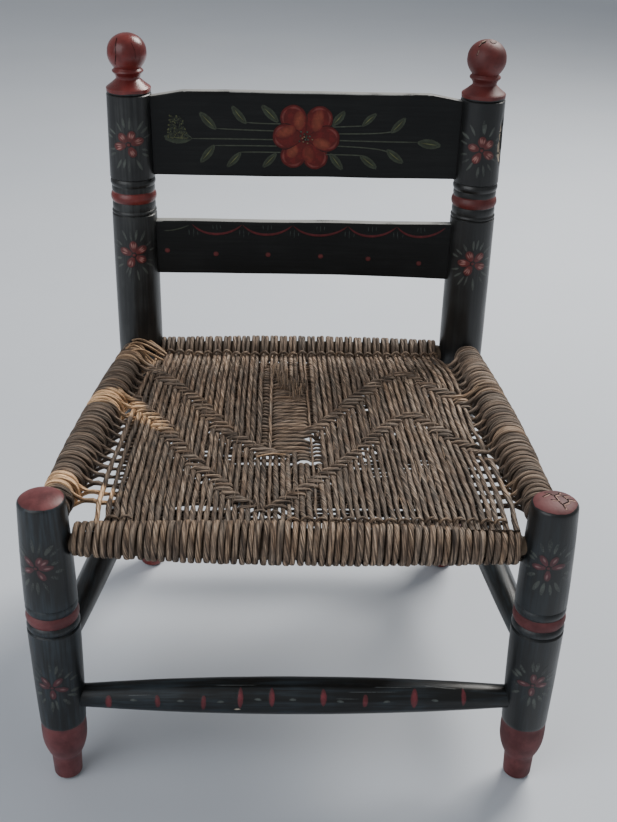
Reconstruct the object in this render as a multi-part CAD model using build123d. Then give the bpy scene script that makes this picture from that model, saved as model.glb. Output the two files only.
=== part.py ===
from build123d import *
import os
from math import atan2, cos, degrees, hypot, radians, sin

# A low ladder-back side chair with turned posts, two back slats, shaved stretchers and a seat
# woven from palm cord. +X is the viewer's right, +Y the back, +Z up, all in millimetres.
# The origin is on the floor, midway between the front and the rear posts.
# "left" and "right" are those of someone who looks at the front of the chair.

# ---- the frame's plan -------------------------------------------------------------------
FRONT_SPAN = 373.0      # between the axes of the two front posts
REAR_SPAN = 305.0       # between the axes of the two rear posts
SEAT_DEPTH = 296.0      # front posts' axes to rear posts' axes
BACK_RACK = 6.0         # the hand-built back stands this far to the right of centre

# ---- turned posts -----------------------------------------------------------------------
POST_RADIUS = 20.4      # fattest place of any post
WAIST_RADIUS = 20.0     # beside the ring groups
FOOT_FLAT_RADIUS = 7.5  # flat that rests on the floor
FOOT_ROUND = 4.5        # height of the foot's rounded bottom edge
FOOT_EDGE_BULGE = 1.1   # bulges: how far the middle of a curve stands out from its chord
FOOT_RADIUS = 11.4      # straight part of the foot
FOOT_NECK_RADIUS = 12.1
FOOT_NECK_Z = 23.5
FOOT_BULB_RADIUS = 18.0
FOOT_BULB_Z = 47.0
FOOT_BULB_BULGE = 1.6
FOOT_TOP_RADIUS = 17.6
FOOT_TOP_Z = 60.0       # the red paint of the foot ends here
COLUMN_START_RADIUS = 18.2
GROOVE = 1.1            # depth and half height of a turned V groove
LATHE_FLAT_RADIUS = 2.5 # little flat in the middle of a post's top

FRONT_COLUMN_BULGE = 0.3
FRONT_RING_Z = 154.5    # lowest groove of the front posts' ring group
FRONT_TOP_BULGE = 0.5
FRONT_POST_TOP_Z = 271.0
FRONT_DOME_HEIGHT = 5.0
FRONT_POST_RIM_Z = FRONT_POST_TOP_Z - FRONT_DOME_HEIGHT
FRONT_RIM_RADIUS = 17.7
RING_HEIGHT = 7.0
BAND_HEIGHT = 9.6       # the red band

REAR_COLUMN_BULGE = 1.1
REAR_THIN_RING = 3.6
REAR_HOLLOW = 6.0       # height of the hollows above and below the red band
REAR_HOLLOW_DEPTH = 1.5
REAR_BAND_HEIGHT = 8.7
REAR_TOP_RING = 6.4
REAR_SHOULDER_RADIUS = 19.3
COLLAR_RADIUS = 19.2
FINIAL_NECK_RADIUS = 9.8
FINIAL_RING_RADIUS = 12.8
BALL_SEAT_RADIUS = 11.5
BALL_SEAT_BULGE = 1.7
BALL_RADIUS = 16.7

# heights of the rear posts, from the top down
CHAIR_HEIGHT = 539.5
BALL_CROWN = 15.0       # top of the ball above its fattest place
BALL_UNDERSIDE = 13.5   # fattest place above the ball's seat
FINIAL_RING_LIP = 2.0   # seat above the flared ring
FINIAL_RING_RISE = 6.5  # flared ring above the neck
FINIAL_NECK_RISE = 7.5  # neck above the collar's edge
COLLAR_HEIGHT = 4.5
BALL_Z = CHAIR_HEIGHT - BALL_CROWN
BALL_SEAT_Z = BALL_Z - BALL_UNDERSIDE
FINIAL_RING_Z = BALL_SEAT_Z - FINIAL_RING_LIP
FINIAL_NECK_Z = FINIAL_RING_Z - FINIAL_RING_RISE
COLLAR_EDGE_Z = FINIAL_NECK_Z - FINIAL_NECK_RISE
COLLAR_Z = COLLAR_EDGE_Z - COLLAR_HEIGHT

# ---- back slats, hung below the collars and the ring groups -----------------------------
SLAT_THICKNESS = 11.0
SLAT_EDGE_ROUND = 1.5
SLAT_FIT = 0.15         # room around a slat in its mortise
SLAT_TIP_STANDOFF = 8.0 # slat end to post axis
TOP_SLAT_HEIGHT = 73.8
TOP_SLAT_END_HEIGHT = 68.9
TOP_SLAT_SLOPE = 26.0   # length of the sloping corner at each end
TOP_SLAT_BELOW_COLLAR = 2.0
LOWER_SLAT_HEIGHT = 50.1
LOWER_SLAT_BELOW_RINGS = 7.3
REAR_RINGS_BELOW_SLAT = 34.6    # lowest groove of the ring group below the top slat
TOP_SLAT_BOTTOM_Z = COLLAR_Z - TOP_SLAT_BELOW_COLLAR - TOP_SLAT_END_HEIGHT
REAR_RING_Z = TOP_SLAT_BOTTOM_Z - REAR_RINGS_BELOW_SLAT
LOWER_SLAT_BOTTOM_Z = REAR_RING_Z - LOWER_SLAT_BELOW_RINGS - LOWER_SLAT_HEIGHT

# ---- members between the posts ----------------------------------------------------------
RAIL_TENON_RADIUS = 7.0
STRETCHER_TENON_RADIUS = 6.5
TENON_FIT = 0.1         # radial room of a tenon in its hole
TENON_TIP_WEB = 1.0     # a tenon stops this much further from a post's axis than its radius
HOLE_END_GAP = 0.5      # room past the tenon's tip
SHOULDER_GAP = 0.15     # between a member's shoulder and the post
SEAM_TURN = 90.0        # puts the seam of a round bar or hole at its side

FRONT_RAIL_Z = 229.0
REAR_RAIL_Z = 246.5
SIDE_RAIL_FRONT_Z = 243.5
SIDE_RAIL_REAR_Z = 253.5
RAIL_END_RADIUS = 7.8   # bare rail beside the post
FRONT_RAIL_MID_RADIUS = 11.8
SIDE_RAIL_MID_RADIUS = 11.8
REAR_RAIL_MID_RADIUS = 10.4

LOW_STRETCHER_Z = 82.5  # front and rear stretchers
SIDE_STRETCHER_Z = 123.5
STRETCHER_END_HALF = 9.3
FRONT_STRETCHER_HALF = 14.8     # half height of the swelled middle
SIDE_STRETCHER_HALF = 12.0
CORNER_FLAT = 1.06      # corner flats stand this many times as far out as the main flats

# ---- palm cord --------------------------------------------------------------------------
WRAP_THICKNESS = 5.2    # one turn of cord around a rail
WRAP_CLEARANCE = 0.3    # cord to the wood and the woven panel
WRAP_POST_GAP = 0.4     # between the last turn and the post
LAYER_THICKNESS = 4.6   # each layer of the woven panel
PANEL_FRONT_Z = 241.0   # the plane between the two layers, at the front rail's axis
PANEL_REAR_Z = 257.0    # and at the rear rail's axis
PANEL_INSET = 9.0       # panel edge to the rails' axes


# ---- posts: places and outlines ---------------------------------------------------------
POSTS = {
    "front_left": (-FRONT_SPAN / 2, -SEAT_DEPTH / 2),
    "front_right": (FRONT_SPAN / 2, -SEAT_DEPTH / 2),
    "rear_left": (BACK_RACK - REAR_SPAN / 2, SEAT_DEPTH / 2),
    "rear_right": (BACK_RACK + REAR_SPAN / 2, SEAT_DEPTH / 2),
}


def bowed(start, end, bulge):
    """One curve between two places of an outline; its middle stands out by the bulge."""
    return [((start[0] + end[0]) / 2 + bulge, (start[1] + end[1]) / 2), end]


def domed(radius, low, top):
    """A quarter ellipse from (radius, low) up to the lathe flat, then in to the axis."""
    quarter = [(radius * cos(radians(turn)), low + (top - low) * sin(radians(turn))) for turn in (30, 60)]
    return [quarter + [(LATHE_FLAT_RADIUS, top)], [(0, top)]]


def foot_outline():
    """Flat, rounded edge, short straight foot, neck and bulb, as steps from the axis."""
    flat = (FOOT_FLAT_RADIUS, 0)
    foot = (FOOT_RADIUS, FOOT_ROUND)
    neck = (FOOT_NECK_RADIUS, FOOT_NECK_Z)
    bulb = (FOOT_BULB_RADIUS, FOOT_BULB_Z)
    top = (FOOT_TOP_RADIUS, FOOT_TOP_Z)
    column = (COLUMN_START_RADIUS, FOOT_TOP_Z + GROOVE)
    edge_curve = bowed(flat, foot, FOOT_EDGE_BULGE)
    bulb_curve = bowed(neck, bulb, FOOT_BULB_BULGE)
    return [[flat], edge_curve, [neck], bulb_curve, [top], [column]]


def column_curve(end, bulge):
    """The long column from the foot's groove up to the end."""
    return bowed((COLUMN_START_RADIUS, FOOT_TOP_Z + GROOVE), end, bulge)


def bead(low, high, crown, groove):
    """A turned ring or hollow between the V grooves at low and high, as one curve."""
    return [(crown, (low + high) / 2), (groove, high)]


def front_outline():
    band_low = FRONT_RING_Z + RING_HEIGHT
    band_high = band_low + BAND_HEIGHT
    ring_top = band_high + RING_HEIGHT
    groove = WAIST_RADIUS - GROOVE
    shoulder = (WAIST_RADIUS, ring_top + GROOVE)
    rim = (FRONT_RIM_RADIUS, FRONT_POST_RIM_Z)
    return foot_outline() + [
        column_curve((POST_RADIUS, FRONT_RING_Z - GROOVE), FRONT_COLUMN_BULGE),
        [(groove, FRONT_RING_Z)],
        bead(FRONT_RING_Z, band_low, POST_RADIUS, groove),
        bead(band_low, band_high, POST_RADIUS, groove),
        bead(band_high, ring_top, WAIST_RADIUS, groove),
        [shoulder],
        bowed(shoulder, rim, FRONT_TOP_BULGE),
    ] + domed(FRONT_RIM_RADIUS, FRONT_POST_RIM_Z, FRONT_POST_TOP_Z)


def rear_rings():
    """Thin ring, hollow, red band, hollow and ring."""
    hollow_low = REAR_RING_Z + REAR_THIN_RING
    band_low = hollow_low + REAR_HOLLOW + GROOVE
    band_high = band_low + REAR_BAND_HEIGHT
    ring_low = band_high + REAR_HOLLOW
    ring_high = ring_low + REAR_TOP_RING
    hollow = WAIST_RADIUS - REAR_HOLLOW_DEPTH
    groove = WAIST_RADIUS - GROOVE
    return [
        [(groove, REAR_RING_Z)],
        bead(REAR_RING_Z, hollow_low, WAIST_RADIUS, groove),
        bead(hollow_low, band_low, hollow, groove),
        bead(band_low, band_high, POST_RADIUS, groove),
        bead(band_high, ring_low, hollow, groove),
        bead(ring_low, ring_high, WAIST_RADIUS, groove),
        [(WAIST_RADIUS, ring_high + GROOVE)],
    ]


def finial_outline():
    """Sloped collar, neck, flared ring and ball."""
    seat = (BALL_SEAT_RADIUS, BALL_SEAT_Z)
    return [
        [(REAR_SHOULDER_RADIUS, COLLAR_Z - GROOVE)],
        [(COLLAR_RADIUS - GROOVE, COLLAR_Z)],
        [(COLLAR_RADIUS, COLLAR_Z + GROOVE)],
        [(COLLAR_RADIUS, COLLAR_EDGE_Z)],
        [(FINIAL_NECK_RADIUS, FINIAL_NECK_Z)],
        [(FINIAL_RING_RADIUS, FINIAL_RING_Z)],
        [seat],
        bowed(seat, (BALL_RADIUS, BALL_Z), BALL_SEAT_BULGE),
    ] + domed(BALL_RADIUS, BALL_Z, CHAIR_HEIGHT)


def rear_outline():
    column = column_curve((WAIST_RADIUS, REAR_RING_Z - GROOVE), REAR_COLUMN_BULGE)
    return foot_outline() + [column] + rear_rings() + finial_outline()


def turned(outline, grow=0.0):
    """Turn an outline of (radius, height) steps about the post's axis; grow fattens it."""
    with BuildPart() as piece:
        with BuildSketch(Plane.XZ):
            with BuildLine():
                here = (0, 0)
                for step in outline:
                    points = [(radius + grow if radius else 0, height) for radius, height in step]
                    if len(points) == 1:
                        Line(here, points[0])
                    else:
                        Spline(here, *points)
                    here = points[-1]
                Line(here, (0, 0))
            make_face()
        revolve(axis=Axis.Z)
    return piece.part


def post_body(name, grow=0.0):
    """The turned post in its place; its seam faces out of the chair, clear of every hole."""
    outline = front_outline() if name.startswith("front") else rear_outline()
    x, y = POSTS[name]
    return Pos(x, y, 0) * Rot(0, 0, degrees(atan2(y, x))) * turned(outline, grow)


# ---- members: each runs between the axes of two posts -----------------------------------
RAILS = {
    "front": ("front_left", "front_right", FRONT_RAIL_Z, FRONT_RAIL_Z, FRONT_RAIL_MID_RADIUS),
    "rear": ("rear_left", "rear_right", REAR_RAIL_Z, REAR_RAIL_Z, REAR_RAIL_MID_RADIUS),
    "left": ("front_left", "rear_left", SIDE_RAIL_FRONT_Z, SIDE_RAIL_REAR_Z, SIDE_RAIL_MID_RADIUS),
    "right": ("front_right", "rear_right", SIDE_RAIL_FRONT_Z, SIDE_RAIL_REAR_Z, SIDE_RAIL_MID_RADIUS),
}
STRETCHERS = {
    "front": ("front_left", "front_right", LOW_STRETCHER_Z, LOW_STRETCHER_Z, FRONT_STRETCHER_HALF),
    "rear": ("rear_left", "rear_right", LOW_STRETCHER_Z, LOW_STRETCHER_Z, SIDE_STRETCHER_HALF),
    "left": ("front_left", "rear_left", SIDE_STRETCHER_Z, SIDE_STRETCHER_Z, SIDE_STRETCHER_HALF),
    "right": ("front_right", "rear_right", SIDE_STRETCHER_Z, SIDE_STRETCHER_Z, SIDE_STRETCHER_HALF),
}


def member_ends(member):
    start, end, start_z, end_z, _ = member
    return Vector(*POSTS[start], start_z), Vector(*POSTS[end], end_z)


def member_plane(member):
    """Origin on the first post's axis, local Z along the member, local X close to upright."""
    start, end = member_ends(member)
    along = (end - start).normalized()
    upright = Vector(0, 0, 1) - along * along.Z
    return Plane(origin=start, x_dir=upright, z_dir=along)


def member_length(member):
    start, end = member_ends(member)
    return (end - start).length


def rod(radius, low, high):
    """A round bar about the local Z axis, from low to high."""
    bar = Cylinder(radius, high - low, align=(Align.CENTER, Align.CENTER, Align.MIN))
    return Pos(0, 0, low) * Rot(0, 0, SEAM_TURN) * bar


def tenon_tip(radius):
    return radius + TENON_TIP_WEB


def tenon_holes(member, radius):
    """The two blind holes that a member's tenons fill."""
    length = member_length(member)
    end = tenon_tip(radius) - HOLE_END_GAP
    plane = member_plane(member)
    outside = POST_RADIUS + radius
    near = rod(radius + TENON_FIT, end, outside)
    far = rod(radius + TENON_FIT, length - outside, length - end)
    return [plane * near, plane * far]


def spindle(half_length, end_radius, mid_radius):
    """A round bar about local Z, swelled in the middle, centred on the origin."""
    low = (end_radius, -half_length)
    high = (end_radius, half_length)
    with BuildPart() as piece:
        with BuildSketch(Plane.XZ):
            with BuildLine():
                Polyline(low, (0, -half_length), (0, half_length), high)
                ThreePointArc(low, (mid_radius, 0), high)
            make_face()
        revolve(axis=Axis.Z)
    return piece.part


def half_between_posts(member, end_radius, gap):
    """Half the free length for a square-ended round bar, which a sloping rail shortens a little."""
    start, end = member_ends(member)
    slope = abs(end.Z - start.Z) / member_length(member)
    return member_length(member) / 2 - POST_RADIUS - gap - end_radius * slope


def rail_solid(member):
    length = member_length(member)
    tip = tenon_tip(RAIL_TENON_RADIUS)
    bare = half_between_posts(member, RAIL_END_RADIUS, SHOULDER_GAP)
    body = Pos(0, 0, length / 2) * spindle(bare, RAIL_END_RADIUS, member[4])
    return member_plane(member) * (body + rod(RAIL_TENON_RADIUS, tip, length - tip))


def wrap_solid(member):
    """The turns of cord around a rail, as one sleeve."""
    full = WRAP_CLEARANCE + WRAP_THICKNESS
    half = half_between_posts(member, RAIL_END_RADIUS + full, WRAP_POST_GAP)
    outside = spindle(half, RAIL_END_RADIUS + full, member[4] + full)
    inside = spindle(half, RAIL_END_RADIUS + WRAP_CLEARANCE, member[4] + WRAP_CLEARANCE)
    return member_plane(member) * (Pos(0, 0, member_length(member) / 2) * (outside - inside))


def wrap_envelope(member):
    """What the woven panel keeps clear of: the sleeve, filled, grown and run on to the posts."""
    length = member_length(member)
    full = WRAP_CLEARANCE + WRAP_THICKNESS + WRAP_CLEARANCE
    half = half_between_posts(member, RAIL_END_RADIUS + full, WRAP_POST_GAP)
    body = Pos(0, 0, length / 2) * spindle(half, RAIL_END_RADIUS + full, member[4] + full)
    return member_plane(member) * (body + rod(RAIL_END_RADIUS + full, 0, length))


def bowed_bar(length, end_half, mid_half, turn):
    """A bar along local Z with two opposite bowed flats, turned about its axis."""
    shoulder = length / 2 - POST_RADIUS
    with BuildPart() as piece:
        with BuildSketch(Plane.XZ):
            with BuildLine():
                for side in (end_half, -end_half):
                    middle = mid_half if side > 0 else -mid_half
                    ThreePointArc((side, -shoulder), (middle, 0), (side, shoulder))
                    Line((side, shoulder), (side, length / 2))
                    Line((side, -shoulder), (side, -length / 2))
                for end in (-length / 2, length / 2):
                    Line((-end_half, end), (end_half, end))
            make_face()
        extrude(amount=2 * mid_half, both=True)
    return Rot(0, 0, turn) * piece.part


def stretcher_solid(member):
    """An eight-sided shaved spindle, coped to the round posts, with a round tenon at each end."""
    length = member_length(member)
    mid_half = member[4]
    body = bowed_bar(length, STRETCHER_END_HALF, mid_half, 0)
    body &= bowed_bar(length, STRETCHER_END_HALF, mid_half, 90)
    for turn in (45, 135):
        body &= bowed_bar(length, STRETCHER_END_HALF * CORNER_FLAT, mid_half * CORNER_FLAT, turn)
    plane = member_plane(member)
    body = plane * (Pos(0, 0, length / 2) * body)
    for post in member[:2]:
        body -= post_body(post, SHOULDER_GAP)
    tip = tenon_tip(STRETCHER_TENON_RADIUS)
    return body + plane * rod(STRETCHER_TENON_RADIUS, tip, length - tip)


# ---- slats ------------------------------------------------------------------------------
def slat_blank(bottom, height, end_height, slope, thickness):
    """A board between the rear posts, its top corners sloping down to the posts."""
    tip = REAR_SPAN / 2 - SLAT_TIP_STANDOFF
    face = REAR_SPAN / 2 - POST_RADIUS
    outline = [(-tip, 0), (tip, 0), (tip, end_height), (face, end_height)]
    if slope:
        outline += [(face - slope, height), (slope - face, height)]
    outline += [(-face, end_height), (-tip, end_height)]
    board = extrude(Plane.XZ * make_face(Polyline(*outline, close=True)), amount=thickness / 2, both=True)
    return Pos(BACK_RACK, SEAT_DEPTH / 2, bottom) * board


def slat_solid(*size):
    blank = slat_blank(*size, SLAT_THICKNESS)
    long_edges = blank.edges().filter_by(lambda edge: abs(edge.tangent_at(0.5).X) > 0.9)
    return fillet(long_edges, SLAT_EDGE_ROUND)


def slat_mortises(bottom, height, end_height, slope):
    """Slots for both slat ends, with room all round."""
    half = REAR_SPAN / 2 - SLAT_TIP_STANDOFF + SLAT_FIT
    slot = Box(2 * half, SLAT_THICKNESS + 2 * SLAT_FIT, end_height + 2 * SLAT_FIT,
               align=(Align.CENTER, Align.CENTER, Align.MIN))
    return Pos(BACK_RACK, SEAT_DEPTH / 2, bottom - SLAT_FIT) * slot


SLATS = {
    "top_slat": (TOP_SLAT_BOTTOM_Z, TOP_SLAT_HEIGHT, TOP_SLAT_END_HEIGHT, TOP_SLAT_SLOPE),
    "lower_slat": (LOWER_SLAT_BOTTOM_Z, LOWER_SLAT_HEIGHT, LOWER_SLAT_HEIGHT, 0),
}


# ---- finished pieces --------------------------------------------------------------------
def post_solid(name):
    """A post with the holes and mortises of everything that joins it."""
    post = post_body(name)
    for member in RAILS.values():
        if name in member[:2]:
            post -= tenon_holes(member, RAIL_TENON_RADIUS)[member[:2].index(name)]
    for member in STRETCHERS.values():
        if name in member[:2]:
            post -= tenon_holes(member, STRETCHER_TENON_RADIUS)[member[:2].index(name)]
    if name.startswith("rear"):
        for size in SLATS.values():
            post -= slat_mortises(*size)
    return post


def panel_layer(thickness):
    """One layer of the woven panel, above (positive) or below (negative) the plane between them."""
    rise = PANEL_REAR_Z - PANEL_FRONT_Z
    run = hypot(SEAT_DEPTH, rise)
    front_half = FRONT_SPAN / 2 - PANEL_INSET
    rear_half = REAR_SPAN / 2 - PANEL_INSET
    corners = [(-front_half, PANEL_INSET), (front_half, PANEL_INSET),
               (BACK_RACK + rear_half, run - PANEL_INSET), (BACK_RACK - rear_half, run - PANEL_INSET)]
    tilt = degrees(atan2(rise, SEAT_DEPTH))
    place = Pos(0, -SEAT_DEPTH / 2, PANEL_FRONT_Z) * Rot(tilt, 0, 0)
    layer = place * extrude(make_face(Polyline(*corners, close=True)), amount=thickness)
    for member in RAILS.values():
        layer -= wrap_envelope(member)
    for name in POSTS:
        layer -= post_body(name, WRAP_CLEARANCE)
    return layer


def chair():
    pieces = {f"{name}_post": post_solid(name) for name in POSTS}
    pieces |= {name: slat_solid(*size) for name, size in SLATS.items()}
    pieces |= {f"{name}_seat_rail": rail_solid(member) for name, member in RAILS.items()}
    pieces |= {f"{name}_stretcher": stretcher_solid(member) for name, member in STRETCHERS.items()}
    pieces |= {f"{name}_rail_wrap": wrap_solid(member) for name, member in RAILS.items()}
    pieces["seat_warp_layer"] = panel_layer(LAYER_THICKNESS)
    pieces["seat_weft_layer"] = panel_layer(-LAYER_THICKNESS)
    return pieces


os.makedirs("parts", exist_ok=True)
for node, solid in chair().items():
    export_step(solid, f"parts/{node}.step")
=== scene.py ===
# %% [markdown]
# # A painted country chair with a woven seat
# The chair has four turned posts, two slats in its back, four shaved stretchers and a seat of
# twisted palm cord. Each step below says what a piece is on the real chair, and then makes it
# with Blender's own tools. Shapes are worked in millimetres and scaled to metres at the end.

# %% Load the measured model
import math
import random

import bmesh
import bpy
import numpy as np
from mathutils import Matrix, Vector, noise
from mathutils.bvhtree import BVHTree


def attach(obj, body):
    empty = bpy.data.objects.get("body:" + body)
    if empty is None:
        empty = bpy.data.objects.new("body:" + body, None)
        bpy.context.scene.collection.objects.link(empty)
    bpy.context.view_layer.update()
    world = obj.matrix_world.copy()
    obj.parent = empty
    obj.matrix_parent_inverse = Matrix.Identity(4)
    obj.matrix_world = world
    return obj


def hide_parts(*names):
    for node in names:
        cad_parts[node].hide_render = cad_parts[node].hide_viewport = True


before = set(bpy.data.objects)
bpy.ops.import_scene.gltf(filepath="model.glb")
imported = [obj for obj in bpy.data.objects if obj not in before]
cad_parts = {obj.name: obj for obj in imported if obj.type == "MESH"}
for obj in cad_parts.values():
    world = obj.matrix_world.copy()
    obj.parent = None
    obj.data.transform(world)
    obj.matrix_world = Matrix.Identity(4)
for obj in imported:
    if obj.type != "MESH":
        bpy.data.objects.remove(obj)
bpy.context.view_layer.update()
MM, SEED = 0.001, 11
random.seed(SEED)
chance = np.random.default_rng(SEED)
print(len(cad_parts), "measured nodes")

# %% [markdown]
# ## The camera
# The camera stands a little above the back of the chair and looks down at the seat. Its place
# and its three angles are fixed numbers, and the focal length is given in pixels, because a
# picture of this shape is measured in pixels. Blender wants millimetres on a 36 mm sensor,
# which belongs to the longer side of the picture.

# %% Place the camera
PICTURE_HEIGHT, FOCAL_PIXELS = 822, 1150.25
SENSOR = 36
CAMERA_PLACE = Vector((-18.1, -851.6, 718.7)) * MM
PITCH, YAW, ROLL = math.radians(28.22), math.radians(1.858), math.radians(1.444)

forward = Vector((math.sin(YAW) * math.cos(PITCH), math.cos(YAW) * math.cos(PITCH), -math.sin(PITCH)))
level = Vector((math.cos(YAW), -math.sin(YAW), 0))     # to the right, before the roll
upright = level.cross(forward)
camera_right = level * math.cos(ROLL) + upright * math.sin(ROLL)
camera_up = upright * math.cos(ROLL) - level * math.sin(ROLL)
camera_data = bpy.data.cameras.new("camera")
camera_data.sensor_width = SENSOR
camera_data.lens = FOCAL_PIXELS / PICTURE_HEIGHT * SENSOR
camera_data.clip_start = 50 * MM
camera = bpy.data.objects.new("camera", camera_data)
camera_turn = Matrix((camera_right, camera_up, -forward)).transposed().to_4x4()
camera.matrix_world = Matrix.Translation(CAMERA_PLACE) @ camera_turn
bpy.context.scene.collection.objects.link(camera)
bpy.context.scene.camera = camera
print("camera at", [round(v, 3) for v in camera.location], "lens", round(camera_data.lens, 2))

# %% [markdown]
# ## Shader helpers
# Every finish is built from nodes in code. One helper adds a node and fills its sockets: a
# socket that is given a value gets the value, and one that is given another socket is linked.

# %% Helpers for materials
def node(tree, kind, inputs=(), **settings):
    """Add one shader node. Inputs are values, or sockets to link from."""
    made = tree.nodes.new("ShaderNode" + kind)
    for key, value in settings.items():
        setattr(made, key, value)
    for key, value in dict(inputs).items():
        if isinstance(value, bpy.types.NodeSocket):
            tree.links.new(value, made.inputs[key])
        else:
            made.inputs[key].default_value = value
    return made


def blend_colours(tree, amount, first, second):
    """First colour where the amount is 0, second colour where it is 1."""
    return node(tree, "Mix", {0: amount, 6: first, 7: second}, data_type="RGBA").outputs[2]


def stepped(tree, value, low, high, start=0.0, end=1.0):
    """A soft step: start below low, end above high."""
    limits = {"Value": value, 1: low, 2: high, 3: start, 4: end}
    return node(tree, "MapRange", limits, interpolation_type="SMOOTHSTEP").outputs[0]


def math_node(tree, operation, first, second):
    return node(tree, "Math", {0: first, 1: second}, operation=operation).outputs[0]


def grain_noise(tree, where, scale, stretch=(1, 1, 1), detail=4.0, rough=0.55):
    """Noise in a stretched copy of the coordinates, between 0 and 1."""
    mapped = node(tree, "Mapping", {"Vector": where, "Scale": stretch}).outputs[0]
    settings = {"Vector": mapped, "Scale": scale, "Detail": detail, "Roughness": rough}
    return node(tree, "TexNoise", settings).outputs[0]


def plus_share(tree, first, second, share):
    """The first value plus a share of the second."""
    return math_node(tree, "ADD", first, math_node(tree, "MULTIPLY", second, share))


def new_material(name, gloss=0.5):
    """An empty node tree with its surface shader, ready to be fed."""
    material = bpy.data.materials.new(name)
    material.use_nodes = True
    tree = material.node_tree
    tree.nodes.clear()
    surface = tree.nodes.new("ShaderNodeBsdfPrincipled")
    surface.inputs["Specular IOR Level"].default_value = gloss
    output = tree.nodes.new("ShaderNodeOutputMaterial")
    tree.links.new(surface.outputs[0], output.inputs[0])
    return material, tree, surface


def feed(tree, surface, colour, roughness, height=None, depth=0.0):
    """Link colour, roughness and a bump height to the surface shader."""
    tree.links.new(colour, surface.inputs["Base Color"])
    tree.links.new(roughness, surface.inputs["Roughness"])
    if height is not None:
        bump = node(tree, "Bump", {"Height": height, "Distance": depth, "Strength": 0.8})
        tree.links.new(bump.outputs[0], surface.inputs["Normal"])

# %% [markdown]
# ## Paint on wood
# The chair is brushed with a thin, half glossy black that has a trace of green in it. Feet,
# bands, crowns and finials are brick red. Where a post is red is read from a stepped colour
# ramp over its height, shaken by a little noise, because a brush drew those edges while the
# post turned.
# Two numbers on each point of the mesh, "wear" and "bare", say where an edge is rubbed and
# where the paint is gone. On the tops of the slats "wear" also carries a painted highlight.

# %% Black coat, red coat, and the painted wood made of both
BLACK_DEEP = (0.0074, 0.0077, 0.0076, 1)
# The front dust is bluish: dust, and a painted reflection of the sky on the faces that look forward.
REAR_DUST, FRONT_DUST_AND_SKY = (0.033, 0.035, 0.034, 1), (0.026, 0.037, 0.046, 1)
REAR_REDS = (0.105, 0.0115, 0.0100, 1), (0.190, 0.029, 0.024, 1)
# The front reds are the same paint as the rear ones, painted darker and cooler as painted shade.
SHADED_FRONT_REDS = (0.080, 0.0150, 0.0165, 1), (0.160, 0.042, 0.043, 1)
BARE_WOOD, BARE_GRAIN = (0.62, 0.54, 0.43, 1), (0.36, 0.27, 0.18, 1)
GRIME = (0.040, 0.015, 0.012, 1)
# The slats' pale rim colour is rubbed paint and a painted highlight of the light on their tops.
RUBBED, RUBBED_AND_SUNLIT_RIM = (0.125, 0.120, 0.112, 1), (0.36, 0.36, 0.34, 1)
DUSTY_BAR, DUSTY_SLAT = 0.80, 0.15
BAR_GLOSS, SLAT_GLOSS = 0.35, 0.22
ALONG_X, ALONG_Y, ALONG_Z = (0.045, 1, 1), (1, 0.045, 1), (1, 1, 0.045)     # which way the brush went
RAMP_HEIGHT, EDGE_SHAKE = 0.6, 2.6 * MM     # metres that the ramp covers, and how far its edges wander
PAINT_RELIEF = 0.18 * MM                    # how deep the marks of the brush look


def black_coat(tree, where, brushed, dust_and_light, dust_and_sky=REAR_DUST):
    """Brush streaks along the piece and cloudy patches; brushed squeezes the streaks."""
    streak = grain_noise(tree, where, 420, brushed, detail=5.0)
    cloud = grain_noise(tree, where, 22, detail=3.0)
    both = math_node(tree, "MULTIPLY", streak, cloud)
    return blend_colours(tree, stepped(tree, both, 0.17, 0.42, 0.0, dust_and_light), BLACK_DEEP, dust_and_sky), streak, cloud


def red_lengths(tree, where, red_heights):
    """1 at the heights in millimetres where the wood is red, 0 where it is black."""
    height = node(tree, "SeparateXYZ", {0: where}).outputs[2]
    shake = math_node(tree, "SUBTRACT", grain_noise(tree, where, 55), 0.5)
    shaken = plus_share(tree, height, shake, EDGE_SHAKE)
    ramp = node(tree, "ValToRGB", {0: math_node(tree, "DIVIDE", shaken, RAMP_HEIGHT)})
    ramp.color_ramp.interpolation = "CONSTANT"
    ramp.color_ramp.elements.remove(ramp.color_ramp.elements[1])
    ramp.color_ramp.elements[0].color = (0, 0, 0, 1)
    for low, high in red_heights:
        for height_mm, shade in ((low, 1), (high, 0)):
            element = ramp.color_ramp.elements.new(max(height_mm, 0.01) * MM / RAMP_HEIGHT)
            element.color = (shade, shade, shade, 1)
    return ramp.outputs[0]


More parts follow.
